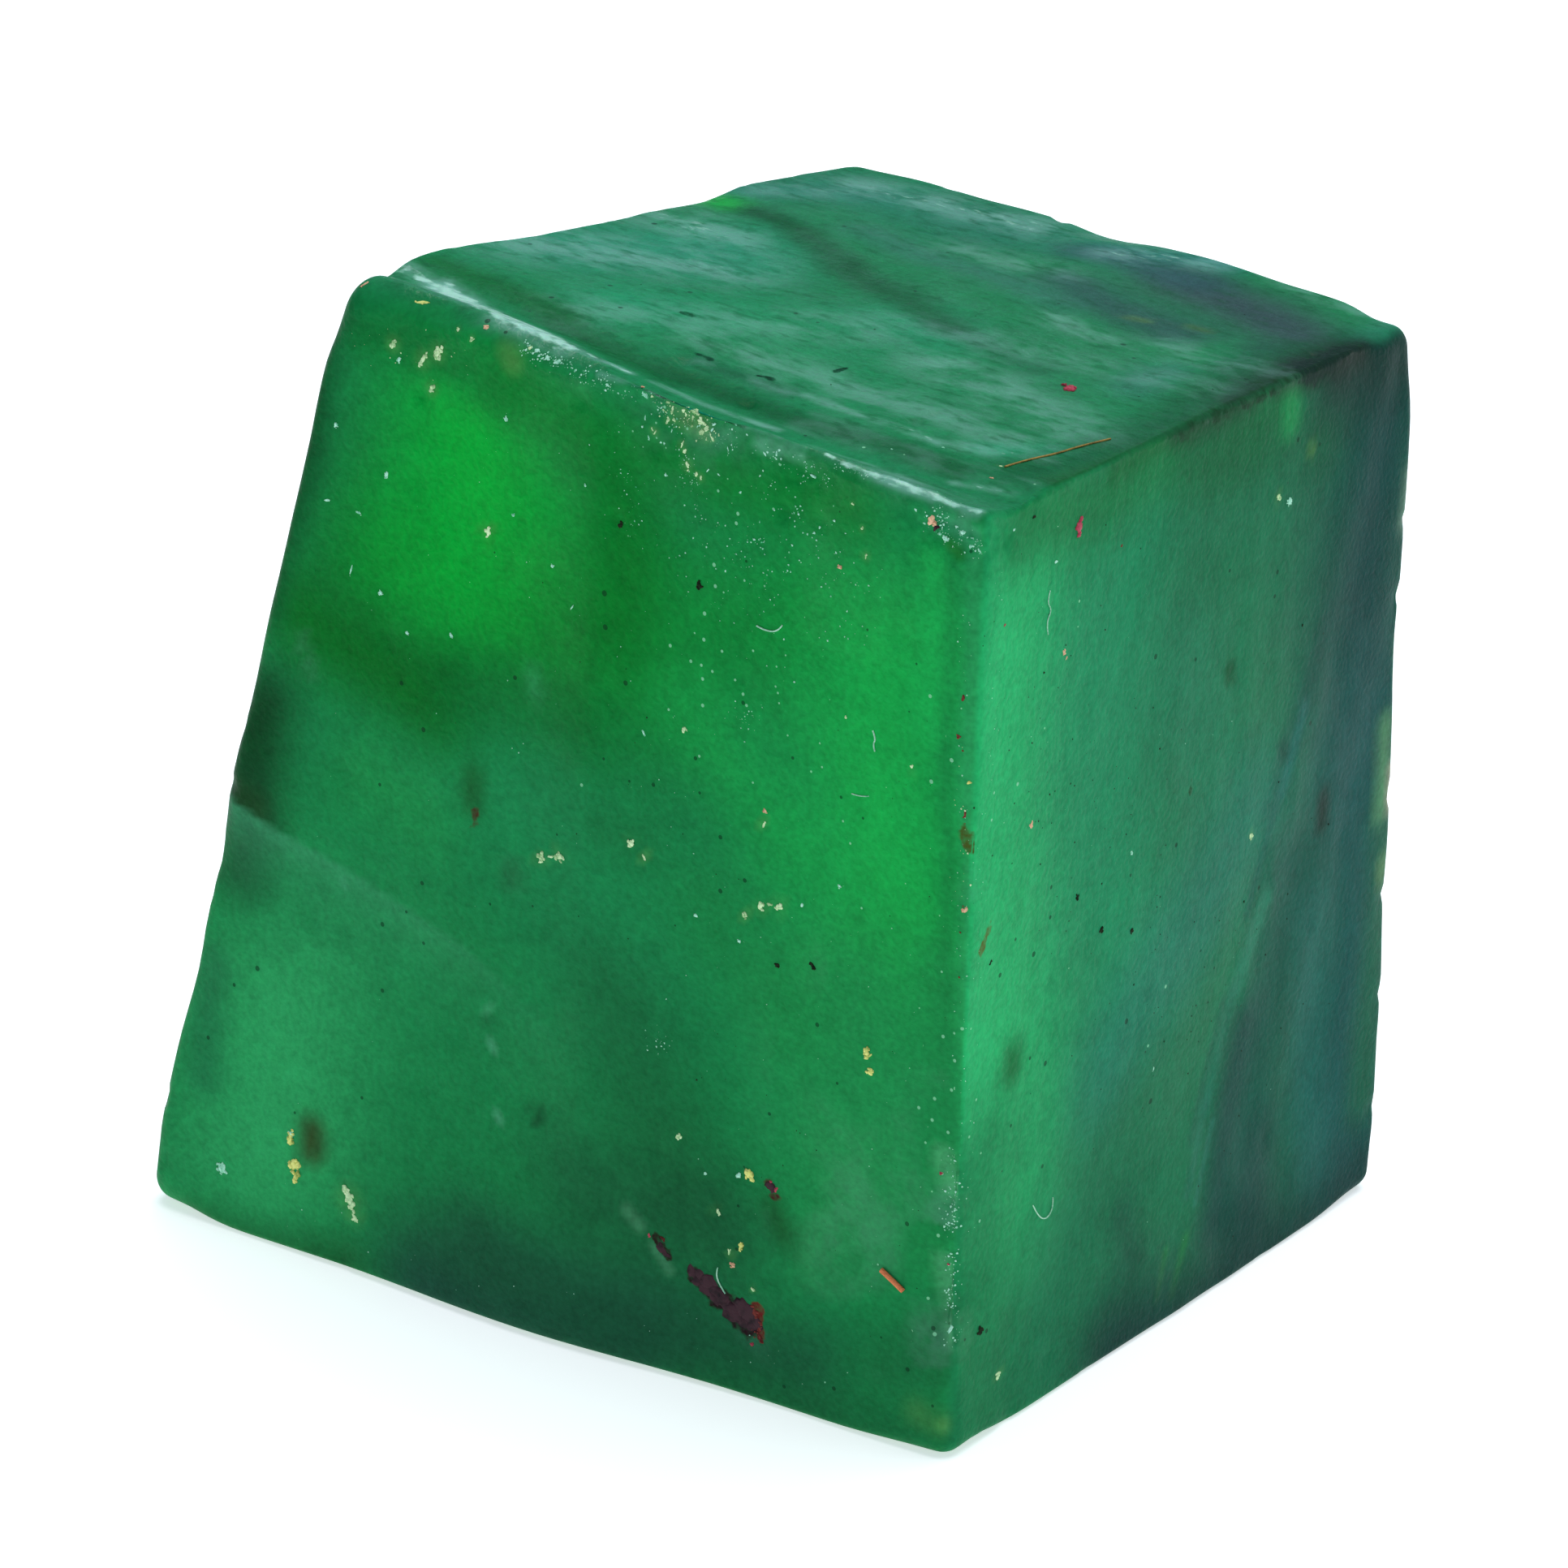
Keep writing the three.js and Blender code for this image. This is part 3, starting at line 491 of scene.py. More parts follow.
def strokeCover(spots, start, end, reach):
    # 1 on the line from start to end, falling softly to 0 at reach
    start, along = np.array(start), np.subtract(end, start)
    share = np.clip((spots - start) @ along / max(along @ along, 1e-9), 0, 1)
    away = np.linalg.norm(spots - start - share[:, None] * along, axis=1)
    near = np.clip(1 - away / reach, 0, 1)
    return near * near * (3 - 2 * near)


def shelfCover(spots, line, fade):
    # strongest just under a line that slants down to the right, with a sharp edge on it
    edgeWidth, endWidth, runOut = 0.25, 1.0, 0.7  # mm, mm, and how late it fades to the right
    across = np.array([p[0] for p in line])
    below = np.interp(spots[:, 0], across, [p[1] for p in line]) - spots[:, 1]
    share = np.clip((spots[:, 0] - across[0]) / (across[-1] - across[0]), 0, 1)
    start = np.clip(below / edgeWidth + 0.5, 0, 1)
    ends = np.clip((spots[:, 0] - across[0]) / endWidth, 0, 1) * (1 - share) ** runOut
    return start * np.exp(-np.clip(below, 0, None) / fade) * ends


def laidOver(values, tint, cover):
    # a colour laid over other colours, as thickly as cover says
    return values + (np.array(linear(tint)[:3]) - values) * cover[:, None]


def paintStone(mesh):
    # writes the colours with their painted glow, shade and sheen, the stains, the finish, the frost with its
    # painted sheen and highlight, and the breaks
    count = len(mesh.vertices)
    places, normals = np.empty(count * 3), np.empty(count * 3)
    mesh.vertices.foreach_get("co", places)
    mesh.vertex_normals.foreach_get("vector", normals)
    places, normals = places.reshape(-1, 3) * 1000, normals.reshape(-1, 3)
    turned = places[:, [1, 2, 0]] / paint["wanderLength"]
    wandered = places + paint["wander"] * (np.sin(turned) + 0.5 * np.sin(2.3 * turned[:, [1, 2, 0]] + 1))

    colours, weights = np.zeros((count, 3)), np.full(count, 1e-6)
    stains, stainWeight = np.zeros((count, 4)), np.zeros(count)
    worn = {mark: np.zeros(count) for mark in ("polish", "dust", "frost", "broken")}
    onSide = {"top": np.zeros(count), "right": np.zeros(count)}
    for name, side in sides.items():
        soft, true = wandered[:, side["axes"]], places[:, side["axes"]]
        facing = np.clip(normals @ np.array(side["facing"]), 0, 1)
        colour = np.tile(linear(side["ground"])[:3], (count, 1))
        # the tints: the stone's own colours with painted glow, shade and sheen
        for start, end, reach, tint, strength in side["tints"]:
            spots = true + (soft - true) * min(reach / paint["steadyBelow"], 1)
            colour = laidOver(colour, tint, strength * strokeCover(spots, start, end, reach))
        for crumbSide, spot, length, _, _ in crumbsOf("clayDried"):
            if crumbSide == name:
                cover = paint["haloStrength"] * strokeCover(true, spot, spot, paint["haloReach"] * length)
                colour = laidOver(colour, paint["haloColour"], cover)
        for line, fade, tint, strength in side.get("shelves", []):
            colour = laidOver(colour, tint, strength * shelfCover(true, line, fade))
        share = facing ** paint["blend"]
        colours += colour * share[:, None]
        weights += share
        for start, end, reach, tint, strength in side["stains"]:
            wide = strokeCover(true, start, end, paint["stainColourReach"] * reach) * facing
            newest = wide > stainWeight
            stains[newest, :3] = linear(tint)[:3]
            stainWeight = np.maximum(stainWeight, wide)
            cover = strength * strokeCover(true, start, end, paint["stainReach"] * reach) * (facing > 0.3)
            stains[:, 3] = np.maximum(stains[:, 3], cover)
        wearing = facing ** paint["wearBlend"]
        holds = {"polish": wearing, "dust": facing, "frost": wearing, "broken": facing > 0.2}
        for mark, hold in holds.items():
            for start, end, reach, strength in side.get(mark, []):
                worn[mark] = np.maximum(worn[mark], strength * strokeCover(true, start, end, reach) * hold)
        if name in onSide:
            onSide[name] = share
    colours /= weights[:, None]
    colours[weights < 0.01] = linear(sides["back"]["ground"])[:3]  # under the foot

    painted = np.hstack([colours, np.ones((count, 1))])
    finish = np.stack([worn["polish"], onSide["top"], onSide["right"], worn["dust"]], axis=1)
    for name, values in (("stoneColourAndPaintedLight", painted), ("stoneStain", stains), ("stoneFinish", finish)):
        mesh.color_attributes.new(name, "FLOAT_COLOR", "POINT").data.foreach_set("color", values.ravel())
    for name in ("broken", "frost"):
        mesh.attributes.new(name, "FLOAT", "POINT").data.foreach_set("value", worn[name])


noiseRange = (0.3, 0.7)  # a noise's values mostly lie between these

# The noises on the emerald: width in mm, detail, how far each is drawn out along x, y and z, and its lean
# about the x axis.
emeraldNoises = {
    "cloud": (5.5, 3.0, (1, 1, 1), 0.0),
    "mottle": (0.9, 3.0, (1, 1, 1), 0.0),
    "peel": (0.24, 2.0, (1, 1, 1), 0.0),  # the orange-peel skin
    "groove": (0.5, 2.0, (6, 1.6, 26), atan(0.33)),  # the slanted grooves on the right
    "grain": (0.5, 4.0, (2.2, 1, 2), 0.0),  # the saw's lines on the top
    "blotch": (1.7, 4.0, (1.4, 1, 1.4), 0.0),  # where the frost and its painted sheen lie thicker and thinner
    "highlightOutline": (0.3, 3.0, (2, 1, 1), 0.0),  # the broken outline of the rubbed rim's painted highlight
    "rim": (0.5, 3.0, (1, 1, 1), 0.0),  # the broken outline of a stain
}

# The emerald's finish. Lengths are in mm. A range takes its first two values to its last two, or to 0 and 1.
emerald = {
    "scatter": 0.8,  # how far light travels under the surface
    "scatterShare": 0.3,
    "scatterColours": (0.25, 1.0, 0.4),
    "roughness": 0.45,
    "ior": 1.58,
    "specularLevel": 0.02,  # the worn skin hardly mirrors; what shines is the polish over it
    "polishRoughness": 0.3,
    "shades": {"cloud": 0.07, "mottle": 0.08, "peel": 0.12},  # how far each lightens and darkens the colour; the peel's share is painted shade and light on its bumps
    "veilShade": (-0.05, 0.04),  # the same for the grooves' veils
    "peelHeight": 0.045,
    "grainHeight": 0.08,
    "furrowShadeColour": "#055028",  # painted shade in the hollows of the grain
    "furrowShadeRange": (0.32, 0.44, 0.35, 0.0),
    "blotchShare": 0.65,  # the rest of the streaks in the frost and its painted sheen is grain
    "streakRange": (0.42, 0.58),
    # the frost's pale colour, partly frosted wear and partly painted sheen
    "frostAndSheenColour": "#9fd6ca",
    "frostAndSheenDepth": (0.08, 0.62),  # between the streaks and in them
    # the rubbed rim's white, a painted highlight on a worn edge
    "rubbedHighlightColour": "#b8ecd6",
    "rubbedHighlightStray": (-0.3, 0.2),
    "rubbedHighlightRange": (0.62, 0.92, 0.0, 0.9),  # only the thickest frost is rubbed white, as a painted highlight
    "pitShade": {"spacing": 1.1, "radius": 0.13, "shift": 3.7, "strength": 0.7},  # dark pinholes, painted shade
    "pitShadeColour": "#06301c",
    "pitShare": 0.3,  # of the cells
    "dust": {"spacing": 0.5, "radius": 0.085, "shift": 0.0, "strength": 0.75},  # pale specks
    "dustColour": "#8fd8a8",
    "strayRange": (0.25, 0.75, -0.3, 0.3),  # how far a stain's outline strays
    "stainRange": (0.4, 0.62),
    "wearRange": (0.4, 0.7, 0.0, 0.4),  # how the peel's high spots show through a stain
    "polishDepth": (0.55, 1.0),  # between the streaks and in them
}


def emeraldMaterial():
    # Emerald, green beryl: sawn, broken and long handled, so it is waxy, cloudy and lets light only soak in
    material, tree, output = newMaterial("emeraldSawnWaxy")
    node = partial(addNode, tree)
    objectPlace = node("TexCoord")["Object"]
    place = node("VectorMath.SCALE", {0: objectPlace, "Scale": 1000})[0]
    finishPaint = node("VertexColor", layer_name="stoneFinish")
    finish = node("SeparateColor", finishPaint["Color"])
    polish, onTop, onRight, dusty = finish[0], finish[1], finish[2], finishPaint["Alpha"]
    frost = node("Attribute", attribute_name="frost")["Fac"]

    noises = {}
    for name, (width, detail, stretch, lean) in emeraldNoises.items():
        drawn = node("VectorRotate", {"Vector": place, "Angle": lean}, rotation_type="X_AXIS")[0]
        drawn = node("VectorMath.DIVIDE", drawn, [s * width for s in stretch])[0]
        noises[name] = node("TexNoise", {"Vector": drawn, "Scale": 1.0, "Detail": detail})[0]

    # the colour in the stone with its painted glow, shade and sheen, a little cloudy and mottled, with faint
    # slanted veils on the right side and painted shade and light on the orange-peel bumps
    veils = node("MapRange", noises["groove"], *noiseRange, *emerald["veilShade"])[0]
    shade = node("Math.MULTIPLY_ADD", veils, onRight, 1.0)[0]
    for name, depth in emerald["shades"].items():
        swing = node("MapRange", noises[name], *noiseRange, -depth, depth)[0]
        shade = node("Math.ADD", shade, swing)[0]
    colour = node("VertexColor", layer_name="stoneColourAndPaintedLight")["Color"]
    colour = node("VectorMath.SCALE", {0: colour, "Scale": shade})[0]

    # frost and painted sheen: places that the saw or wear left pale, with the top's sheen and the rim's
    # highlight painted in as pale colour, in streaks along the top's grain
    grain = noises["grain"]
    blotches = node("Math.MULTIPLY", noises["blotch"], emerald["blotchShare"])[0]
    worn = node("Math.MULTIPLY_ADD", grain, 1 - emerald["blotchShare"], blotches)[0]
    streaks = node("MapRange", worn, *emerald["streakRange"])[0]
    frostAndSheenDepth = node("MapRange", streaks, 0.0, 1.0, *emerald["frostAndSheenDepth"])[0]
    frostAndSheenCover = node("Math.MULTIPLY", frost, frostAndSheenDepth)[0]
    # the rubbed rim, painted white as its highlight, its outline broken by a fine noise
    stray = node("MapRange", noises["highlightOutline"], *noiseRange, *emerald["rubbedHighlightStray"])[0]
    rubbedHighlight = node("Math.ADD", frost, stray)[0]
    rubbedHighlight = node("MapRange", rubbedHighlight, *emerald["rubbedHighlightRange"])[0]
    # painted shade in the grain's hollows on the top
    furrowShade = node("MapRange", grain, *emerald["furrowShadeRange"])[0]
    furrowShade = node("Math.MULTIPLY", furrowShade, onTop)[0]
    layers = [(frostAndSheenCover, "frostAndSheenColour"), (rubbedHighlight, "rubbedHighlightColour"), (furrowShade, "furrowShadeColour")]

    # painted shade of pinholes and pale specks of dust, each in a few of a Voronoi pattern's cells
    for kind, share in (("pitShade", emerald["pitShare"]), ("dust", dusty)):
        speck = emerald[kind]
        shifted = node("VectorMath.ADD", place, [speck["shift"]] * 3)[0]
        cells = node("TexVoronoi", {"Vector": shifted, "Scale": 1 / speck["spacing"]})
        seed = node("SeparateColor", cells["Color"])
        size = node("Math.MULTIPLY", seed[1], speck["radius"] / speck["spacing"])[0]
        inside = node("Math.LESS_THAN", cells["Distance"], size)[0]
        chosen = node("Math.LESS_THAN", seed[0], share)[0]
        specks = node("Math.MULTIPLY", inside, chosen)[0]
        specks = node("Math.MULTIPLY", specks, speck["strength"])[0]
        layers.append((specks, kind + "Colour"))
    for cover, name in layers:
        tint = linear(emerald[name])
        colour = node("Mix", {0: cover, 6: colour, 7: tint}, data_type="RGBA")[2]

    # stains, whose outlines are broken up by a fine noise
    stainPaint = node("VertexColor", layer_name="stoneStain")
    stray = node("MapRange", noises["rim"], *emerald["strayRange"])[0]
    strayed = node("Math.ADD", stainPaint["Alpha"], stray)[0]
    stained = node("MapRange", strayed, *emerald["stainRange"])[0]
    thin = node("MapRange", noises["peel"], *emerald["wearRange"])[0]
    mottled = node("Mix", {0: thin, 6: stainPaint["Color"], 7: colour}, data_type="RGBA")[2]
    colour = node("Mix", {0: stained, 6: colour, 7: mottled}, data_type="RGBA")[2]

    # relief too fine for the mesh
    lines = node("Math.MULTIPLY", grain, emerald["grainHeight"])[0]
    lines = node("Math.MULTIPLY", lines, onTop)[0]
    height = node("Math.MULTIPLY_ADD", noises["peel"], emerald["peelHeight"], lines)[0]
    bump = node("Bump", {"Strength": 1.0, "Distance": mm, "Height": height})[0]

    # the polish, thinner between the streaks and gone under a stain
    gloss = node("MapRange", streaks, 0.0, 1.0, *emerald["polishDepth"])[0]
    gloss = node("Math.MULTIPLY", polish, gloss)[0]
    clean = node("Math.SUBTRACT", 1.0, stained)[0]
    shader = node(
        "BsdfPrincipled",
        {
            "Base Color": colour,
            "Roughness": emerald["roughness"],
            "IOR": emerald["ior"],
            "Specular IOR Level": emerald["specularLevel"],
            "Subsurface Weight": emerald["scatterShare"],
            "Subsurface Radius": emerald["scatterColours"],
            "Subsurface Scale": emerald["scatter"] * mm,
            "Coat Weight": node("Math.MULTIPLY", gloss, clean)[0],
            "Coat Roughness": emerald["polishRoughness"],
            "Normal": bump,
            "Coat Normal": bump,
        },
        subsurface_method="RANDOM_WALK",
    )
    tree.links.new(shader[0], output.inputs["Surface"])
    return material


# Wear and working marks that are too fine for the solid, all in millimetres.
skin = {
    "Ripple height": 0.07,
    "Ripple length": 3.4,
    "Top grain height": 0.08,
    "Top grain width": 1.1,
    "Side groove height": 0.07,
    "Side groove width": 0.9,
    "Pit depth": 0.14,
    "Pit size": 1.9,
    "Broken height": 0.22,
    "Broken size": 0.5,
}


# Where the skin's marks hold, as the part of a normal that points the mark's way or the share of a cell.
skinHolds = {
    "side": (0.75, 0.97),
    "aboveFoot": (-0.9, -0.6),
    "pitHeart": (0.34, 0.05),
    "unpitted": 0.72,  # of the cells
}


def buildSkinTree():
    sockets = [(name, "Float") for name in skin] + [("Material", "Material")]
    tree, given, output = newGroup("Stone skin", sockets)
    node = partial(addNode, tree)
    normal = node("InputNormal")[0]
    facing = node("SeparateXYZ", normal)
    spot = node("InputPosition")[0]
    place = node("VectorMath.SCALE", {0: spot, "Scale": 1000})[0]

    # slow ripples, then grain on the top and grooves on the right, each drawn out along the saw's way
    height = 0.0
    for mark, width, stretch, detail, axis in (
        ("Ripple", "Ripple length", (1, 1, 1), 2.0, None),
        ("Top grain", "Top grain width", (9, 1, 3), 1.0, 2),
        ("Side groove", "Side groove width", (3, 1, 16), 1.0, 0),
    ):
        drawn = node("VectorMath.DIVIDE", place, stretch)[0]
        scale = node("Math.DIVIDE", 1.0, given[width])[0]
        wave = node("TexNoise", {"Vector": drawn, "Scale": scale, "Detail": detail})[0]
        wave = node("Math.SUBTRACT", wave, 0.5)[0]
        wave = node("Math.MULTIPLY", wave, given[mark + " height"])[0]
        if axis is not None:
            onSide = node("MapRange", facing[axis], *skinHolds["side"], interpolation_type="SMOOTHSTEP")[0]
            wave = node("Math.MULTIPLY", wave, onSide)[0]
        height = node("Math.ADD", height, wave)[0]

    # pits: the hearts of a few cells
    scale = node("Math.DIVIDE", 1.0, given["Pit size"])[0]
    cells = node("TexVoronoi", {"Vector": place, "Scale": scale})
    pitHeart = skinHolds["pitHeart"]
    heart = node("MapRange", cells["Distance"], *pitHeart, interpolation_type="SMOOTHSTEP")[0]
    chosen = node("SeparateXYZ", cells["Color"])[0]
    chosen = node("Math.GREATER_THAN", chosen, skinHolds["unpitted"])[0]
    pits = node("Math.MULTIPLY", heart, chosen)[0]
    pits = node("Math.MULTIPLY", pits, given["Pit depth"])[0]

    # broken places: small sugary facets, cut in
    scale = node("Math.DIVIDE", 1.0, given["Broken size"])[0]
    facets = node("TexVoronoi", {"Vector": place, "Scale": scale})["Distance"]
    facets = node("Math.MULTIPLY", facets, given["Broken height"])[0]
    broken = node("InputNamedAttribute", {"Name": "broken"}, data_type="FLOAT")[0]
    facets = node("Math.MULTIPLY", facets, broken)[0]

    # all of it moves the surface along its normal, but for the foot
    height = node("Math.SUBTRACT", height, pits)[0]
    height = node("Math.SUBTRACT", height, facets)[0]
    aboveFoot = skinHolds["aboveFoot"]
    aboveFoot = node("MapRange", facing[2], *aboveFoot, interpolation_type="SMOOTHSTEP")[0]
    height = node("Math.MULTIPLY", height, aboveFoot)[0]
    height = node("Math.MULTIPLY", height, mm)[0]
    shift = node("VectorMath.SCALE", {0: normal, "Scale": height})[0]
    moved = node("SetPosition", {"Geometry": given["Geometry"], "Offset": shift})[0]
    finished = node("SetMaterial", {"Geometry": moved, "Material": given["Material"]})[0]
    tree.links.new(finished, output.inputs[0])
    return tree


def buildStone():
    mesh = blankMesh()
    paintStone(mesh)
    mesh = runTree(buildSkinTree(), mesh, "emeraldStone", {**skin, "Material": emeraldMaterial()})
    mesh.shade_smooth()
    return newObject("emeraldStone", mesh)


stone = buildStone()
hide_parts("emerald")
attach(stone, "root")
corners = [vertex.co for vertex in stone.data.vertices]
stoneSurface = BVHTree.FromPolygons(corners, [face.vertices for face in stone.data.polygons])
print("stone made:", len(stone.data.polygons), "faces")

clearOfStone = 0.06  # m from the stone's middle, well outside it
nearStone = 0.017  # m, about on the stone's sides


def onStone(side, a, b):
    # the place and the normal of the stone at (a, b) in mm on one of its sides, or just beside its edge
    facing = Vector(sides[side]["facing"])
    start = facing * clearOfStone
    for axis, value in zip(sides[side]["axes"], (a, b)):
        start[axis] = value * mm
    place, normal, _, _ = stoneSurface.ray_cast(start, -facing)
    if place is None:
        place, normal, _, _ = stoneSurface.find_nearest(start - facing * (clearOfStone - nearStone))
    return place, normal


# Loose matter on the stone. Each kind has its darkest and lightest colour, its roughness, and the height and
# width in mm of its own lumps.
looseKinds = {
    # Crushed beryl: sugary, glassy mint-white dust from the stone's own edges
    "berylCrushed": ("#3cbc80", "#c4fce0", 0.3, 0.02, 0.1),
    # Feldspar and clay crumbs: dry and chalky, cream to tan, so thin at the rims that the green shows through
    "clayDried": ("#6cac60", "#e6ffc8", 0.8, 0.03, 0.12),
    # Flesh-pink feldspar crumbs: dull, with brown sides
    "feldsparPink": ("#a0603c", "#fbcaa4", 0.7, 0.03, 0.12),
    # Limonite crumbs: earthy yellow, with no gloss
    "limoniteEarthy": ("#8aa044", "#f8f490", 0.75, 0.03, 0.15),
    # Haematite crust: dark maroon, half dull and half greasy
    "haematiteCrusted": ("#20141a", "#442830", 0.6, 0.01, 0.3),
    # Haematite dust: rust red, with no gloss
    "haematitePowdered": ("#4c1a1a", "#863a32", 0.75, 0.02, 0.12),
    # Soil packed in pits: nearly black green-brown
    "soilPacked": ("#0a1a10", "#26301c", 0.85, 0.02, 0.1),
    # Flakes of red lacquer: smooth, with a soft gloss
    "lacquerFlaked": ("#7a1c30", "#c44a5c", 0.4, 0.01, 0.2),
    # A snip of orange dyed cotton: dull, with its twist as fine ridges
    "cottonDyedOrange": ("#c0502c", "#ee8a5c", 0.8, 0.02, 0.06),
    # Dry grass fibre: straw gold with a faint silk
    "strawDried": ("#6a5a2c", "#b89450", 0.55, 0.01, 0.08),
    # Cotton lint: white to mint, because it is so thin that the stone shows through it
    "lintFine": ("#5fb888", "#bce8cc", 0.7, 0.005, 0.08),
}


def looseMaterial(name):
    dark, light, roughness, lumpHeight, lumpWidth = looseKinds[name]
    patchWidth = 0.6  # mm, over which a crumb's tone drifts
    toneRange = (0.65, 1.1)  # from the darkest to the lightest
    material, tree, output = newMaterial(name)
    node = partial(addNode, tree)
    objectPlace = node("TexCoord")["Object"]
    place = node("VectorMath.SCALE", {0: objectPlace, "Scale": 1000})[0]
    lumps = node("TexNoise", {"Vector": place, "Scale": 1 / lumpWidth, "Detail": 2.0})[0]
    patches = node("TexNoise", {"Vector": place, "Scale": 1 / patchWidth, "Detail": 2.0})[0]
    tone = node("Math.ADD", lumps, patches)[0]
    share = node("MapRange", tone, *toneRange)[0]
    colour = node("Mix", {0: share, 6: linear(dark), 7: linear(light)}, data_type="RGBA")[2]
    bump = node("Bump", {"Strength": 1.0, "Distance": lumpHeight * mm, "Height": lumps})[0]
    look = {"Base Color": colour, "Roughness": roughness, "Normal": bump, "Specular IOR Level": 0.12}
    shader = node("BsdfPrincipled", look)
    tree.links.new(shader[0], output.inputs["Surface"])
    return material


looseMaterials = {name: looseMaterial(name) for name in looseKinds}

# Grit scattered over the stone: side, from, to and reach in mm, grains per square mm, grain size in mm, how
# much it gathers in clumps from 0 to 1, and the width of a clump in mm.
gritPatches = {
    "berylCrushed": [
        ("front", (-1.2, 39.9), (2.6, 39.5), 0.5, 40, 0.11, 0.7, 0.5),
        ("front", (2.6, 39.4), (5.0, 39.3), 0.45, 34, 0.10, 0.7, 0.4),
        ("front", (5.0, 38.9), (8.6, 38.5), 0.8, 30, 0.09, 0.8, 0.5),
        ("front", (10.2, 38.4), (13.2, 37.9), 0.55, 34, 0.10, 0.85, 0.5),
        ("front", (18.2, 37.4), (20.0, 36.9), 0.9, 36, 0.10, 0.8, 0.35),
        ("top", (13.2, -16.1), (19.0, -15.9), 0.35, 34, 0.07, 0.6, 0.4),
        ("front", (3.6, 37.2), (4.4, 34.6), 0.9, 16, 0.07, 0.9, 0.5),
        ("front", (6.4, 37.8), (7.3, 35.4), 0.6, 24, 0.08, 0.9, 0.4),
        ("front", (11.0, 37.0), (13.4, 35.4), 1.3, 9, 0.11, 0.7, 0.5),
        ("front", (8.2, 35.2), (10.4, 34.6), 1.4, 9, 0.10, 0.9, 0.5),
        ("front", (7.4, 33.6), (14.6, 33.4), 2.4, 5, 0.09, 0.9, 0.7),
        ("front", (9.6, 31.6), (12.0, 31.2), 1.4, 6, 0.09, 0.9, 0.5),
        ("front", (8.6, 27.9), (10.2, 27.8), 0.6, 22, 0.08, 0.9, 0.4),
        ("front", (19.1, 12.7), (19.1, 9.9), 0.45, 46, 0.12, 0.7, 0.4),
        ("front", (19.1, 8.4), (19.2, 5.2), 0.45, 46, 0.12, 0.7, 0.4),
        ("front", (19.6, 34), (19.4, 14), 0.5, 5, 0.075, 0.5, 0.6),
        ("right", (-15.6, 36), (-15.4, 6), 0.7, 2.6, 0.06, 0.4, 0.6),
        ("front", (5.5, 15.4), (6.0, 13.0), 0.5, 22, 0.09, 0.9, 0.4),
        ("front", (0, 32), (16, 12), 9.0, 0.5, 0.06, 0.4, 1.4),
        ("front", (-6, 30), (-10, 10), 7.0, 0.12, 0.07, 0.4, 1.4),
        ("front", (-12, 2), (14, 1.6), 1.4, 1.2, 0.07, 0.6, 0.8),
        ("right", (-12, 34), (2, 8), 9.0, 0.16, 0.055, 0.3, 1.4),
    ],
    "clayDried": [
        ("front", (19.6, 31.4), (19.5, 22.4), 0.4, 3.5, 0.10, 0.6, 0.5),
        ("front", (5.6, 38.9), (7.6, 38.6), 0.6, 46, 0.11, 0.6, 0.4),
        ("front", (-8.6, 38.6), (-4.6, 38.8), 1.2, 3.5, 0.09, 0.8, 0.4),
        ("top", (20.2, -5), (19.6, 10), 0.8, 0.7, 0.08, 0.5, 0.5),
    ],
    "haematitePowdered": [
        ("front", (10.2, 4.1), (10.3, 2.7), 0.35, 18, 0.14, 0.2, 0.4),
        ("front", (19.7, 31), (19.5, 20), 0.3, 2.6, 0.12, 0.5, 0.5),
    ],
    "soilPacked": [
        ("top", (20.2, -3), (19.4, 10), 0.6, 2.4, 0.11, 0.6, 0.5),
        ("right", (-13, 32), (4, 8), 9.0, 0.62, 0.09, 0.5, 1.4),
        ("right", (-12, 30), (-2, 14), 7.0, 0.9, 0.1, 0.6, 1.1),
        ("front", (17.0, 30), (18.6, 8), 3.0, 0.5, 0.07, 0.3, 1.0),
        ("right", (6, 28), (8, 8), 8.0, 0.1, 0.13, 0.0, 1.0),
        ("front", (2, 26), (14, 10), 8.0, 0.3, 0.08, 0.5, 1.4),
        ("top", (2, -8), (14, 4), 8.0, 0.12, 0.10, 0.3, 1.4),
    ],
}


# A grain's build, as shares of its size, and where grains gather.
grain = {
    "facing": 0.25,  # how far the surface has to face the patch's side
    "clumped": (0.52, 0.62),  # the slow noise that grains gather at
    "crowding": 3.5,  # times as many grains there
    "lumpScale": 1.3,
    "lumps": (-0.45, 0.35),
    "sizes": (0.3, 1.25),
    "smallOnes": 2.5,  # how much they outnumber the big ones
    "widths": (0.45, 0.95),
    "heights": (0.35, 0.7),
}


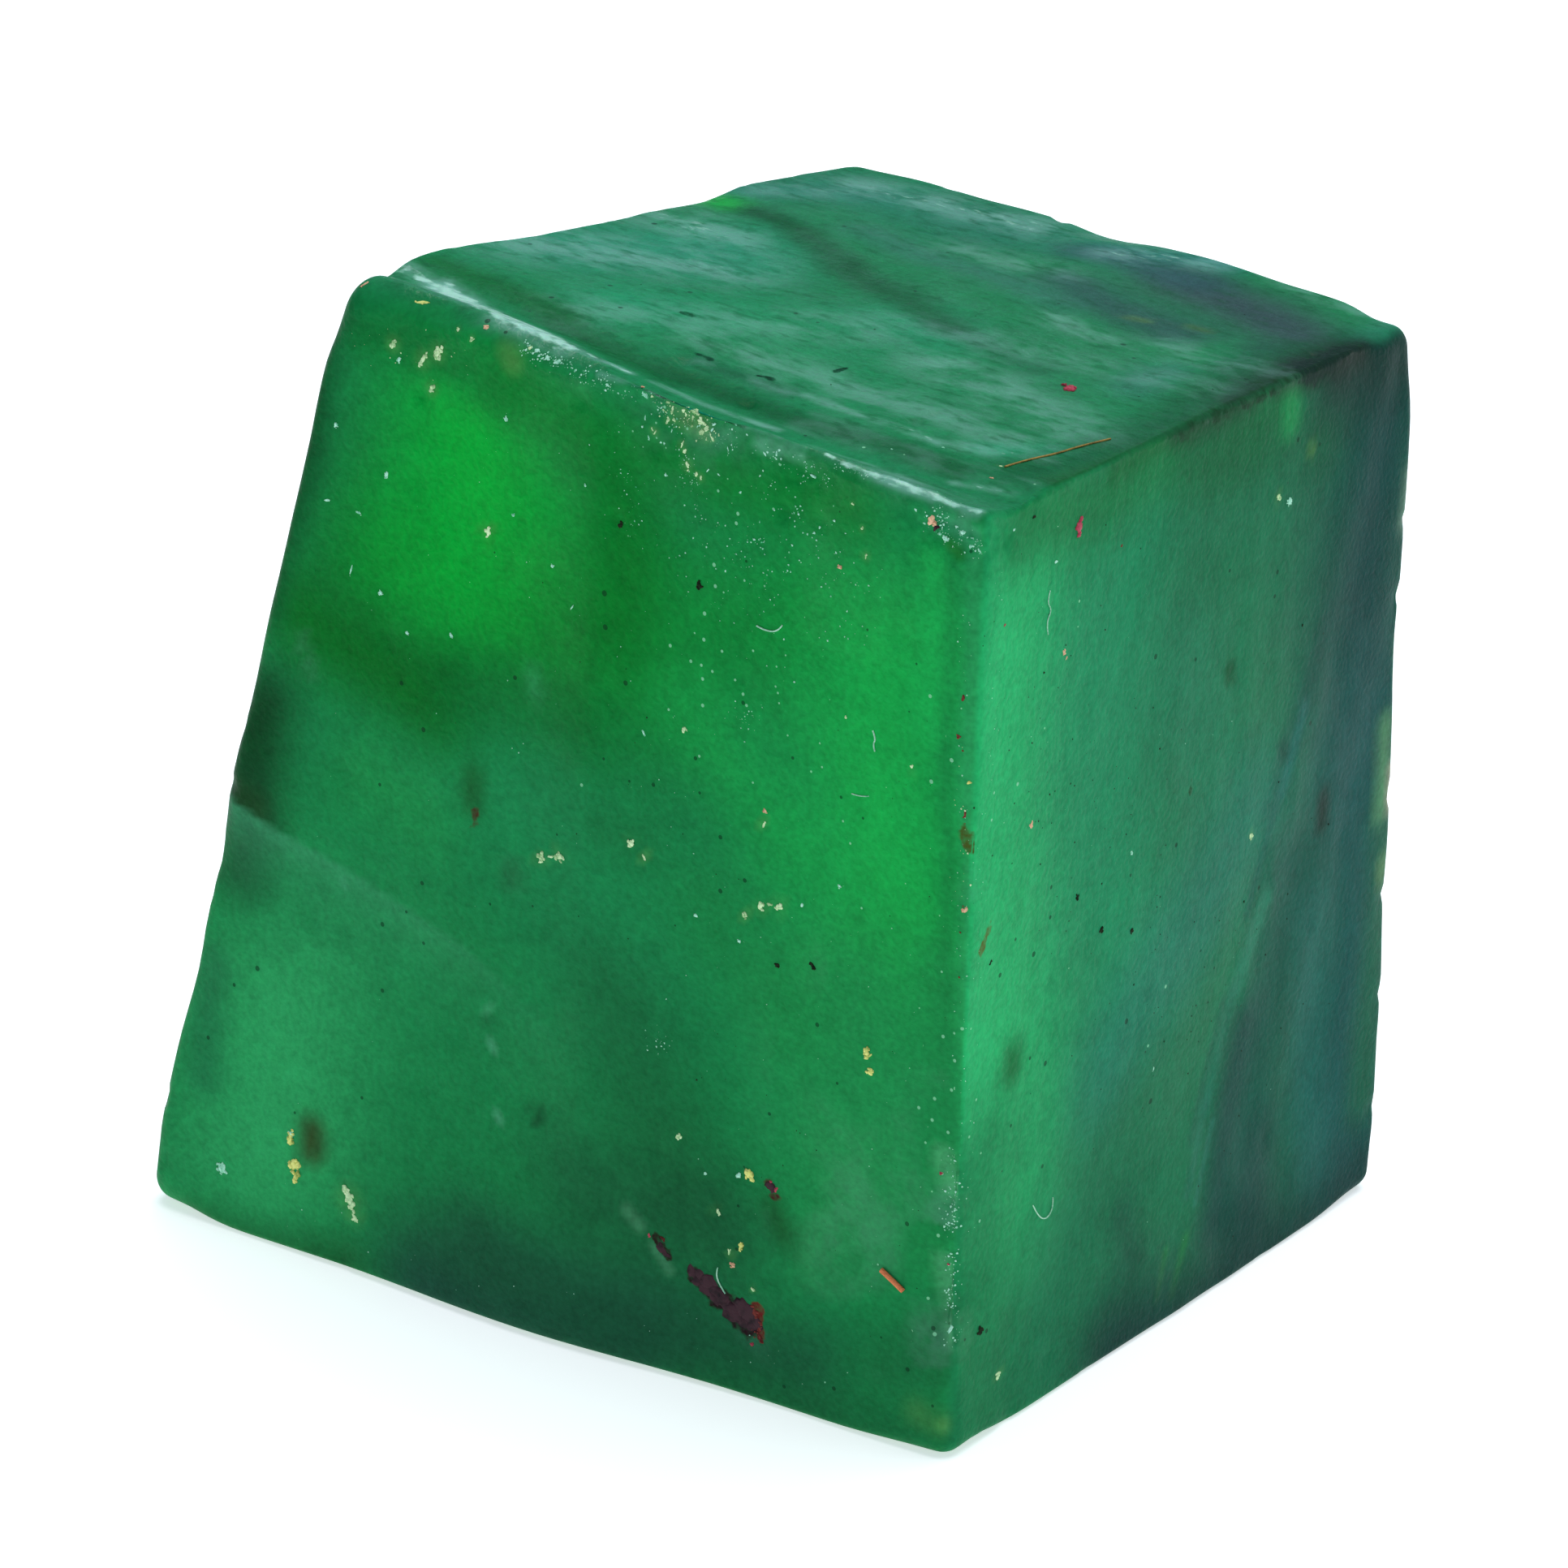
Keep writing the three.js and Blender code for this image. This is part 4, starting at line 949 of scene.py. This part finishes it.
def buildGritTree():
    sockets = [("From", "Vector"), ("To", "Vector"), ("Reach", "Float"), ("Grains per mm2", "Float")]
    sockets += [("Grain size", "Float"), ("Clumping", "Float"), ("Clump width", "Float")]
    sockets += [("Facing", "Vector"), ("Seed", "Int"), ("Material", "Material")]
    tree, given, output = newGroup("Grit", sockets)
    node = partial(addNode, tree)

    # how near the stroke a place is: 1 on it and 0 at its reach, on the side that it was laid on
    spot = node("InputPosition")[0]
    place = node("VectorMath.SCALE", {0: spot, "Scale": 1000})[0]
    fromStart = node("VectorMath.SUBTRACT", place, given["From"])[0]
    along = node("VectorMath.SUBTRACT", given["To"], given["From"])[0]
    lengthSquared = node("VectorMath.DOT_PRODUCT", along, along)["Value"]
    lengthSquared = node("Math.MAXIMUM", lengthSquared, 1e-6)[0]
    share = node("VectorMath.DOT_PRODUCT", fromStart, along)["Value"]
    share = node("Math.DIVIDE", share, lengthSquared)[0]
    share = node("Clamp", share)[0]
    covered = node("VectorMath.SCALE", {0: along, "Scale": share})[0]
    away = node("VectorMath.SUBTRACT", fromStart, covered)[0]
    away = node("VectorMath.LENGTH", away)["Value"]
    away = node("Math.DIVIDE", away, given["Reach"])[0]
    near = node("Math.SUBTRACT", 1.0, away)[0]
    near = node("Clamp", near)[0]
    normal = node("InputNormal")[0]
    onSide = node("VectorMath.DOT_PRODUCT", normal, given["Facing"])["Value"]
    onSide = node("Math.GREATER_THAN", onSide, grain["facing"])[0]
    covered = node("Math.GREATER_THAN", near, 0.0)[0]
    chosen = node("Math.MULTIPLY", onSide, covered)[0]

    # grains to a square metre, more of them where a slow noise is high
    scale = node("Math.DIVIDE", 1.0, given["Clump width"])[0]
    clumps = node("TexNoise", {"Vector": place, "Scale": scale, "Detail": 1.0})[0]
    gathered = node("MapRange", clumps, *grain["clumped"])[0]
    gathered = node("Math.MULTIPLY", gathered, grain["crowding"])[0]
    gathered = node("Math.MULTIPLY", gathered, given["Clumping"])[0]
    even = node("Math.SUBTRACT", 1.0, given["Clumping"])[0]
    gathered = node("Math.ADD", gathered, even)[0]
    density = node("Math.MULTIPLY", near, gathered)[0]
    perArea = node("Math.MULTIPLY", given["Grains per mm2"], 1e6)[0]
    density = node("Math.MULTIPLY", density, perArea)[0]
    spread = node(
        "DistributePointsOnFaces",
        {"Mesh": given["Geometry"], "Selection": chosen, "Density": density, "Seed": given["Seed"]},
    )

    # one lumpy grain
    ball = node("MeshIcoSphere", {"Radius": 1.0, "Subdivisions": 1})[0]
    spot = node("InputPosition")[0]
    lumps = node("TexNoise", {"Vector": spot, "Scale": grain["lumpScale"], "Detail": 1.0})[0]
    lumps = node("MapRange", lumps, *noiseRange, *grain["lumps"])[0]
    normal = node("InputNormal")[0]
    swell = node("VectorMath.SCALE", {0: normal, "Scale": lumps})[0]
    lumpy = node("SetPosition", {"Geometry": ball, "Offset": swell})[0]

    # turned about and stretched at random, with many small grains to each big one
    drawn = {}
    ranges = {"size": (0.0, 1.0), "width": grain["widths"], "height": grain["heights"], "turn": (0.0, 2 * pi)}
    for offset, (name, (low, high)) in enumerate(ranges.items(), 11):
        seed = node("Math.ADD", given["Seed"], offset)[0]
        drawn[name] = node("RandomValue", {2: low, 3: high, "Seed": seed}, data_type="FLOAT")[1]
    size = node("Math.POWER", drawn["size"], grain["smallOnes"])[0]
    size = node("MapRange", size, 0.0, 1.0, *grain["sizes"])[0]
    size = node("Math.MULTIPLY", size, given["Grain size"])[0]
    size = node("Math.MULTIPLY", size, mm)[0]
    stretch = node("CombineXYZ", 1.0, drawn["width"], drawn["height"])[0]
    stretch = node("VectorMath.SCALE", {0: stretch, "Scale": size})[0]
    spin = node("AxisAngleToRotation", {"Axis": (0, 0, 1), "Angle": drawn["turn"]})[0]
    turned = node("RotateRotation", spread["Rotation"], spin, rotation_space="LOCAL")[0]
    grains = node(
        "InstanceOnPoints",
        {"Points": spread["Points"], "Instance": lumpy, "Rotation": turned, "Scale": stretch},
    )[0]
    real = node("RealizeInstances", grains)[0]
    finished = node("SetMaterial", {"Geometry": real, "Material": given["Material"]})[0]
    tree.links.new(finished, output.inputs[0])
    return tree


# How a crumb is huddled together from lumps.
huddle = {
    "usual": (0.8, 0.15),  # how high a lump is to its width, and how big the lumps of a crumb 1 mm wide are
    "others": {"haematiteCrusted": (0.09, 0.4), "berylCrushed": (0.8, 0.09)},
    "heart": 0.38,  # half the middle lump, as a share of the crumb
    "small": 0.2,  # mm; a narrower crumb has few lumps
    "spread": (0.4, 1.1),  # how far out the other lumps lie, as a share of the crumb's half
    "sizes": (0.55, 1.45),
    "swells": ((0.55, 1.4), (0.3, 3.5)),  # each lump's own unevenness: how much and how fine
}


def unitBall():
    # the corners and faces of a ball, which every lump starts from
    work = bmesh.new()
    bmesh.ops.create_uvsphere(work, u_segments=8, v_segments=5, radius=1.0)
    corners = [vert.co.copy() for vert in work.verts]
    faces = [[vert.index for vert in face.verts] for face in work.faces]
    work.free()
    return corners, faces


ballCorners, ballFaces = unitBall()


def addLump(work, centre, frameOfLump, half, seed):
    made = []
    (broad, broadScale), (fine, fineScale) = huddle["swells"]
    for corner in ballCorners:
        lump = 1 + broad * noise(corner * broadScale + Vector((seed, 0, 0)))
        lump += fine * noise(corner * fineScale + Vector((0, seed, 0)))
        reached = Vector([c * h for c, h in zip(corner * lump, half)])
        made.append(work.verts.new(centre + frameOfLump @ reached))
    for face in ballFaces:
        work.faces.new([made[number] for number in face])


def addCrumb(work, kind, side, spot, length, width, turn, seed):
    # a crumb is a huddle of lumps: one in the middle and smaller ones about it, all half sunk in the stone
    place, normal = onStone(side, *spot)
    sideways = Vector((0, 0, 1)).cross(normal) if abs(normal.z) < 0.8 else Vector((1, 0, 0))
    sideways = (sideways - normal * sideways.dot(normal)).normalized()
    upwards = normal.cross(sideways)
    frameOfCrumb = Matrix((sideways, upwards, normal)).transposed() @ Matrix.Rotation(radians(turn), 3, "Z")
    random = Random(seed)
    flatness, coarseness = huddle["others"].get(kind, huddle["usual"])
    lumps = 3 if width < huddle["small"] else 5 + int(0.75 * length * width / coarseness**2)
    for number in range(lumps):
        if number == 0:
            across, size = Vector((0, 0, 0)), Vector((length, width, 0.5 * width)) * huddle["heart"]
        else:
            angle, away = random.uniform(0, 2 * pi), random.uniform(*huddle["spread"]) / 2
            across = Vector((length * cos(angle), width * sin(angle), 0)) * away
            size = Vector([width**0.7 * random.uniform(*huddle["sizes"]) * coarseness for axis in range(3)])
        size.z *= flatness
        spin = Matrix.Rotation(random.uniform(0, pi) if number else 0, 3, "Z")
        centre = place + frameOfCrumb @ across * mm
        addLump(work, centre, frameOfCrumb @ spin, size * mm, random.uniform(0, 90))


def buildLoose(name):
    # all the grit and the crumbs of one kind, as one mesh
    work = bmesh.new()
    for number, patch in enumerate(gritPatches.get(name, [])):
        side, start, end, reach, perArea, size, clumping, clumpWidth = patch
        values = {
            "From": onStone(side, *start)[0] / mm,
            "To": onStone(side, *end)[0] / mm,
            "Reach": float(reach),
            "Grains per mm2": float(perArea),
            "Grain size": size / 2,
            "Clumping": clumping,
            "Clump width": clumpWidth,
            "Facing": Vector(sides[side]["facing"]),
            "Seed": firstSeed + number,
            "Material": looseMaterials[name],
        }
        work.from_mesh(runTree(gritTree, stone.data, "grit", values))
    for number, crumb in enumerate(crumbsOf(name)):
        addCrumb(work, name, *crumb, number)
    bmesh.ops.recalc_face_normals(work, faces=work.faces)
    mesh = bpy.data.meshes.new(name)
    work.to_mesh(mesh)
    work.free()
    mesh.materials.clear()
    mesh.materials.append(looseMaterials[name])
    mesh.shade_smooth()
    piece = newObject(name + "Grains", mesh)
    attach(piece, "root")
    print(piece.name, len(mesh.polygons), "faces")


firstSeed = 40
gritTree = buildGritTree()
for kindName in crumbs:
    buildLoose(kindName)

# Threads and hairs that cling to the stone: kind, side, thickness in mm and the places that they run through.
fibres = {
    "goldenThread": (
        "strawDried", "top", 0.08,
        [(17.95, -11.7), (18.0, -10.4), (18.35, -8.9), (18.45, -7.4), (18.8, -6.0)],
    ),
    "orangeSnip": ("cottonDyedOrange", "front", 0.2, [(16.2, 7.3), (16.55, 7.1), (16.9, 6.9), (17.2, 6.7)]),
    "curl": (
        "lintFine", "right", 0.05,
        [(-10.9, 8.9), (-10.5, 8.3), (-9.9, 7.9), (-9.4, 8.2), (-9.5, 8.7)],
    ),
    "squiggle": (
        "lintFine", "right", 0.045,
        [(-11.9, 34.0), (-12.1, 33.6), (-11.7, 33.2), (-12.1, 32.8), (-11.9, 32.3)],
    ),
    "whisker": ("lintFine", "front", 0.06, [(15.6, 28.9), (15.75, 28.6), (15.6, 28.35), (15.7, 28.1)]),
    "dash": ("lintFine", "front", 0.045, [(14.6, 26.15), (14.95, 26.12), (15.4, 26.25)]),
    "loop": ("lintFine", "front", 0.06, [(10.2, 31.7), (10.6, 31.6), (11.2, 31.7), (11.4, 32.0)]),
    "rootHair": ("lintFine", "front", 0.06, [(8.6, 5.2), (8.5, 4.9), (8.62, 4.5), (8.9, 4.15)]),
}
fibreLift = 0.4  # of its thickness, so it is a little sunk in


def buildFibre(name):
    kind, side, thickness, spots = fibres[name]
    curve = bpy.data.curves.new(name, "CURVE")
    curve.dimensions = "3D"
    curve.bevel_depth = thickness * mm / 2
    curve.bevel_resolution = 2
    curve.use_fill_caps = True
    spline = curve.splines.new("NURBS")
    spline.points.add(len(spots) - 1)
    spline.use_endpoint_u = True
    spline.order_u = 3
    spline.resolution_u = 6
    for point, spot in zip(spline.points, spots):
        place, normal = onStone(side, *spot)
        point.co = (*(place + normal * thickness * mm * fibreLift), 1)
    mesh = bakedMesh(newObject(name, curve), name)
    mesh.materials.clear()
    mesh.materials.append(looseMaterials[kind])
    mesh.shade_smooth()
    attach(newObject(name, mesh), "root")


for fibreName in fibres:
    buildFibre(fibreName)
print("fibres laid")

studio = {
    "floorColour": "#f4f7f8",
    "floorGlow": 0.64,  # the paper is lit from below too
    "floorSide": 3.0,  # metres
    "roomColour": "#b9dcf4",
    "roomStrength": 0.3,
    "topLight": {"at": (0.1, 0.2, 1.2), "size": 1.2, "power": 11.5},
    "backLight": {"at": (-0.62, 0.86, 0.95), "size": 0.6, "power": 0.9, "colour": "#b4e3ff"},
}


def paperMaterial():
    # Matte white background paper: even and without gloss
    material, tree, output = newMaterial("paperMatteWhite")
    white = linear(studio["floorColour"])
    look = {
        "Base Color": white,
        "Roughness": 0.9,
        "Specular IOR Level": 0.2,
        "Emission Color": white,
        "Emission Strength": studio["floorGlow"],
    }
    tree.links.new(addNode(tree, "BsdfPrincipled", look)[0], output.inputs["Surface"])
    material.cycles.emission_sampling = "NONE"
    return material


def buildFloor():
    half = studio["floorSide"] / 2
    mesh = bpy.data.meshes.new("paperFloor")
    corners = [(-half, -half, 0), (half, -half, 0), (half, half, 0), (-half, half, 0)]
    mesh.from_pydata(corners, [], [(0, 1, 2, 3)])
    mesh.materials.append(paperMaterial())
    floor = newObject("paperFloor", mesh)


def addSoftLight(name, at, size, power, colour="#ffffff"):
    lamp = bpy.data.lights.new(name, "AREA")
    lamp.shape = "DISK"
    lamp.size = size
    lamp.energy = power
    lamp.color = linear(colour)[:3]
    light = newObject(name, lamp)
    light.location = at
    light.rotation_euler = (-Vector(at)).to_track_quat("-Z", "Y").to_euler()


def buildRoom():
    world = bpy.data.worlds.new("studioRoom")
    bpy.context.scene.world = world
    world.use_nodes = True
    background = world.node_tree.nodes["Background"]
    background.inputs["Color"].default_value = linear(studio["roomColour"])
    background.inputs["Strength"].default_value = studio["roomStrength"]
    bpy.context.scene.view_settings.view_transform = "Standard"


camera = {
    "azimuth": 35.516,
    "elevation": 21.313,
    "roll": 0.61,
    "distance": 0.262659,
    "side": 0.713,  # mm that the aim lies to the right of the middle
    "middle": (-0.740, -0.300, 17.943),  # mm
    "lens": 150,
}


def buildCamera():
    turn, rise, roll = (radians(camera[k]) for k in ("azimuth", "elevation", "roll"))
    back = Vector((sin(turn) * cos(rise), -cos(turn) * cos(rise), sin(rise)))
    right = Vector((cos(turn), sin(turn), 0))
    up = back.cross(right)
    rolledRight = right * cos(roll) + up * sin(roll)
    rolledUp = up * cos(roll) - right * sin(roll)
    place = (Vector(camera["middle"]) + right * camera["side"]) * mm + back * camera["distance"]
    lens = bpy.data.cameras.new("camera")
    lens.lens = camera["lens"]
    lens.sensor_width = 36
    lens.clip_start = 0.01
    eye = newObject("camera", lens)
    turned = Matrix((rolledRight, rolledUp, back)).transposed().to_4x4()
    eye.matrix_world = Matrix.Translation(place) @ turned
    bpy.context.scene.camera = eye


buildFloor()
buildRoom()
addSoftLight("topLight", **studio["topLight"])
addSoftLight("backLight", **studio["backLight"])
buildCamera()
print("studio ready")
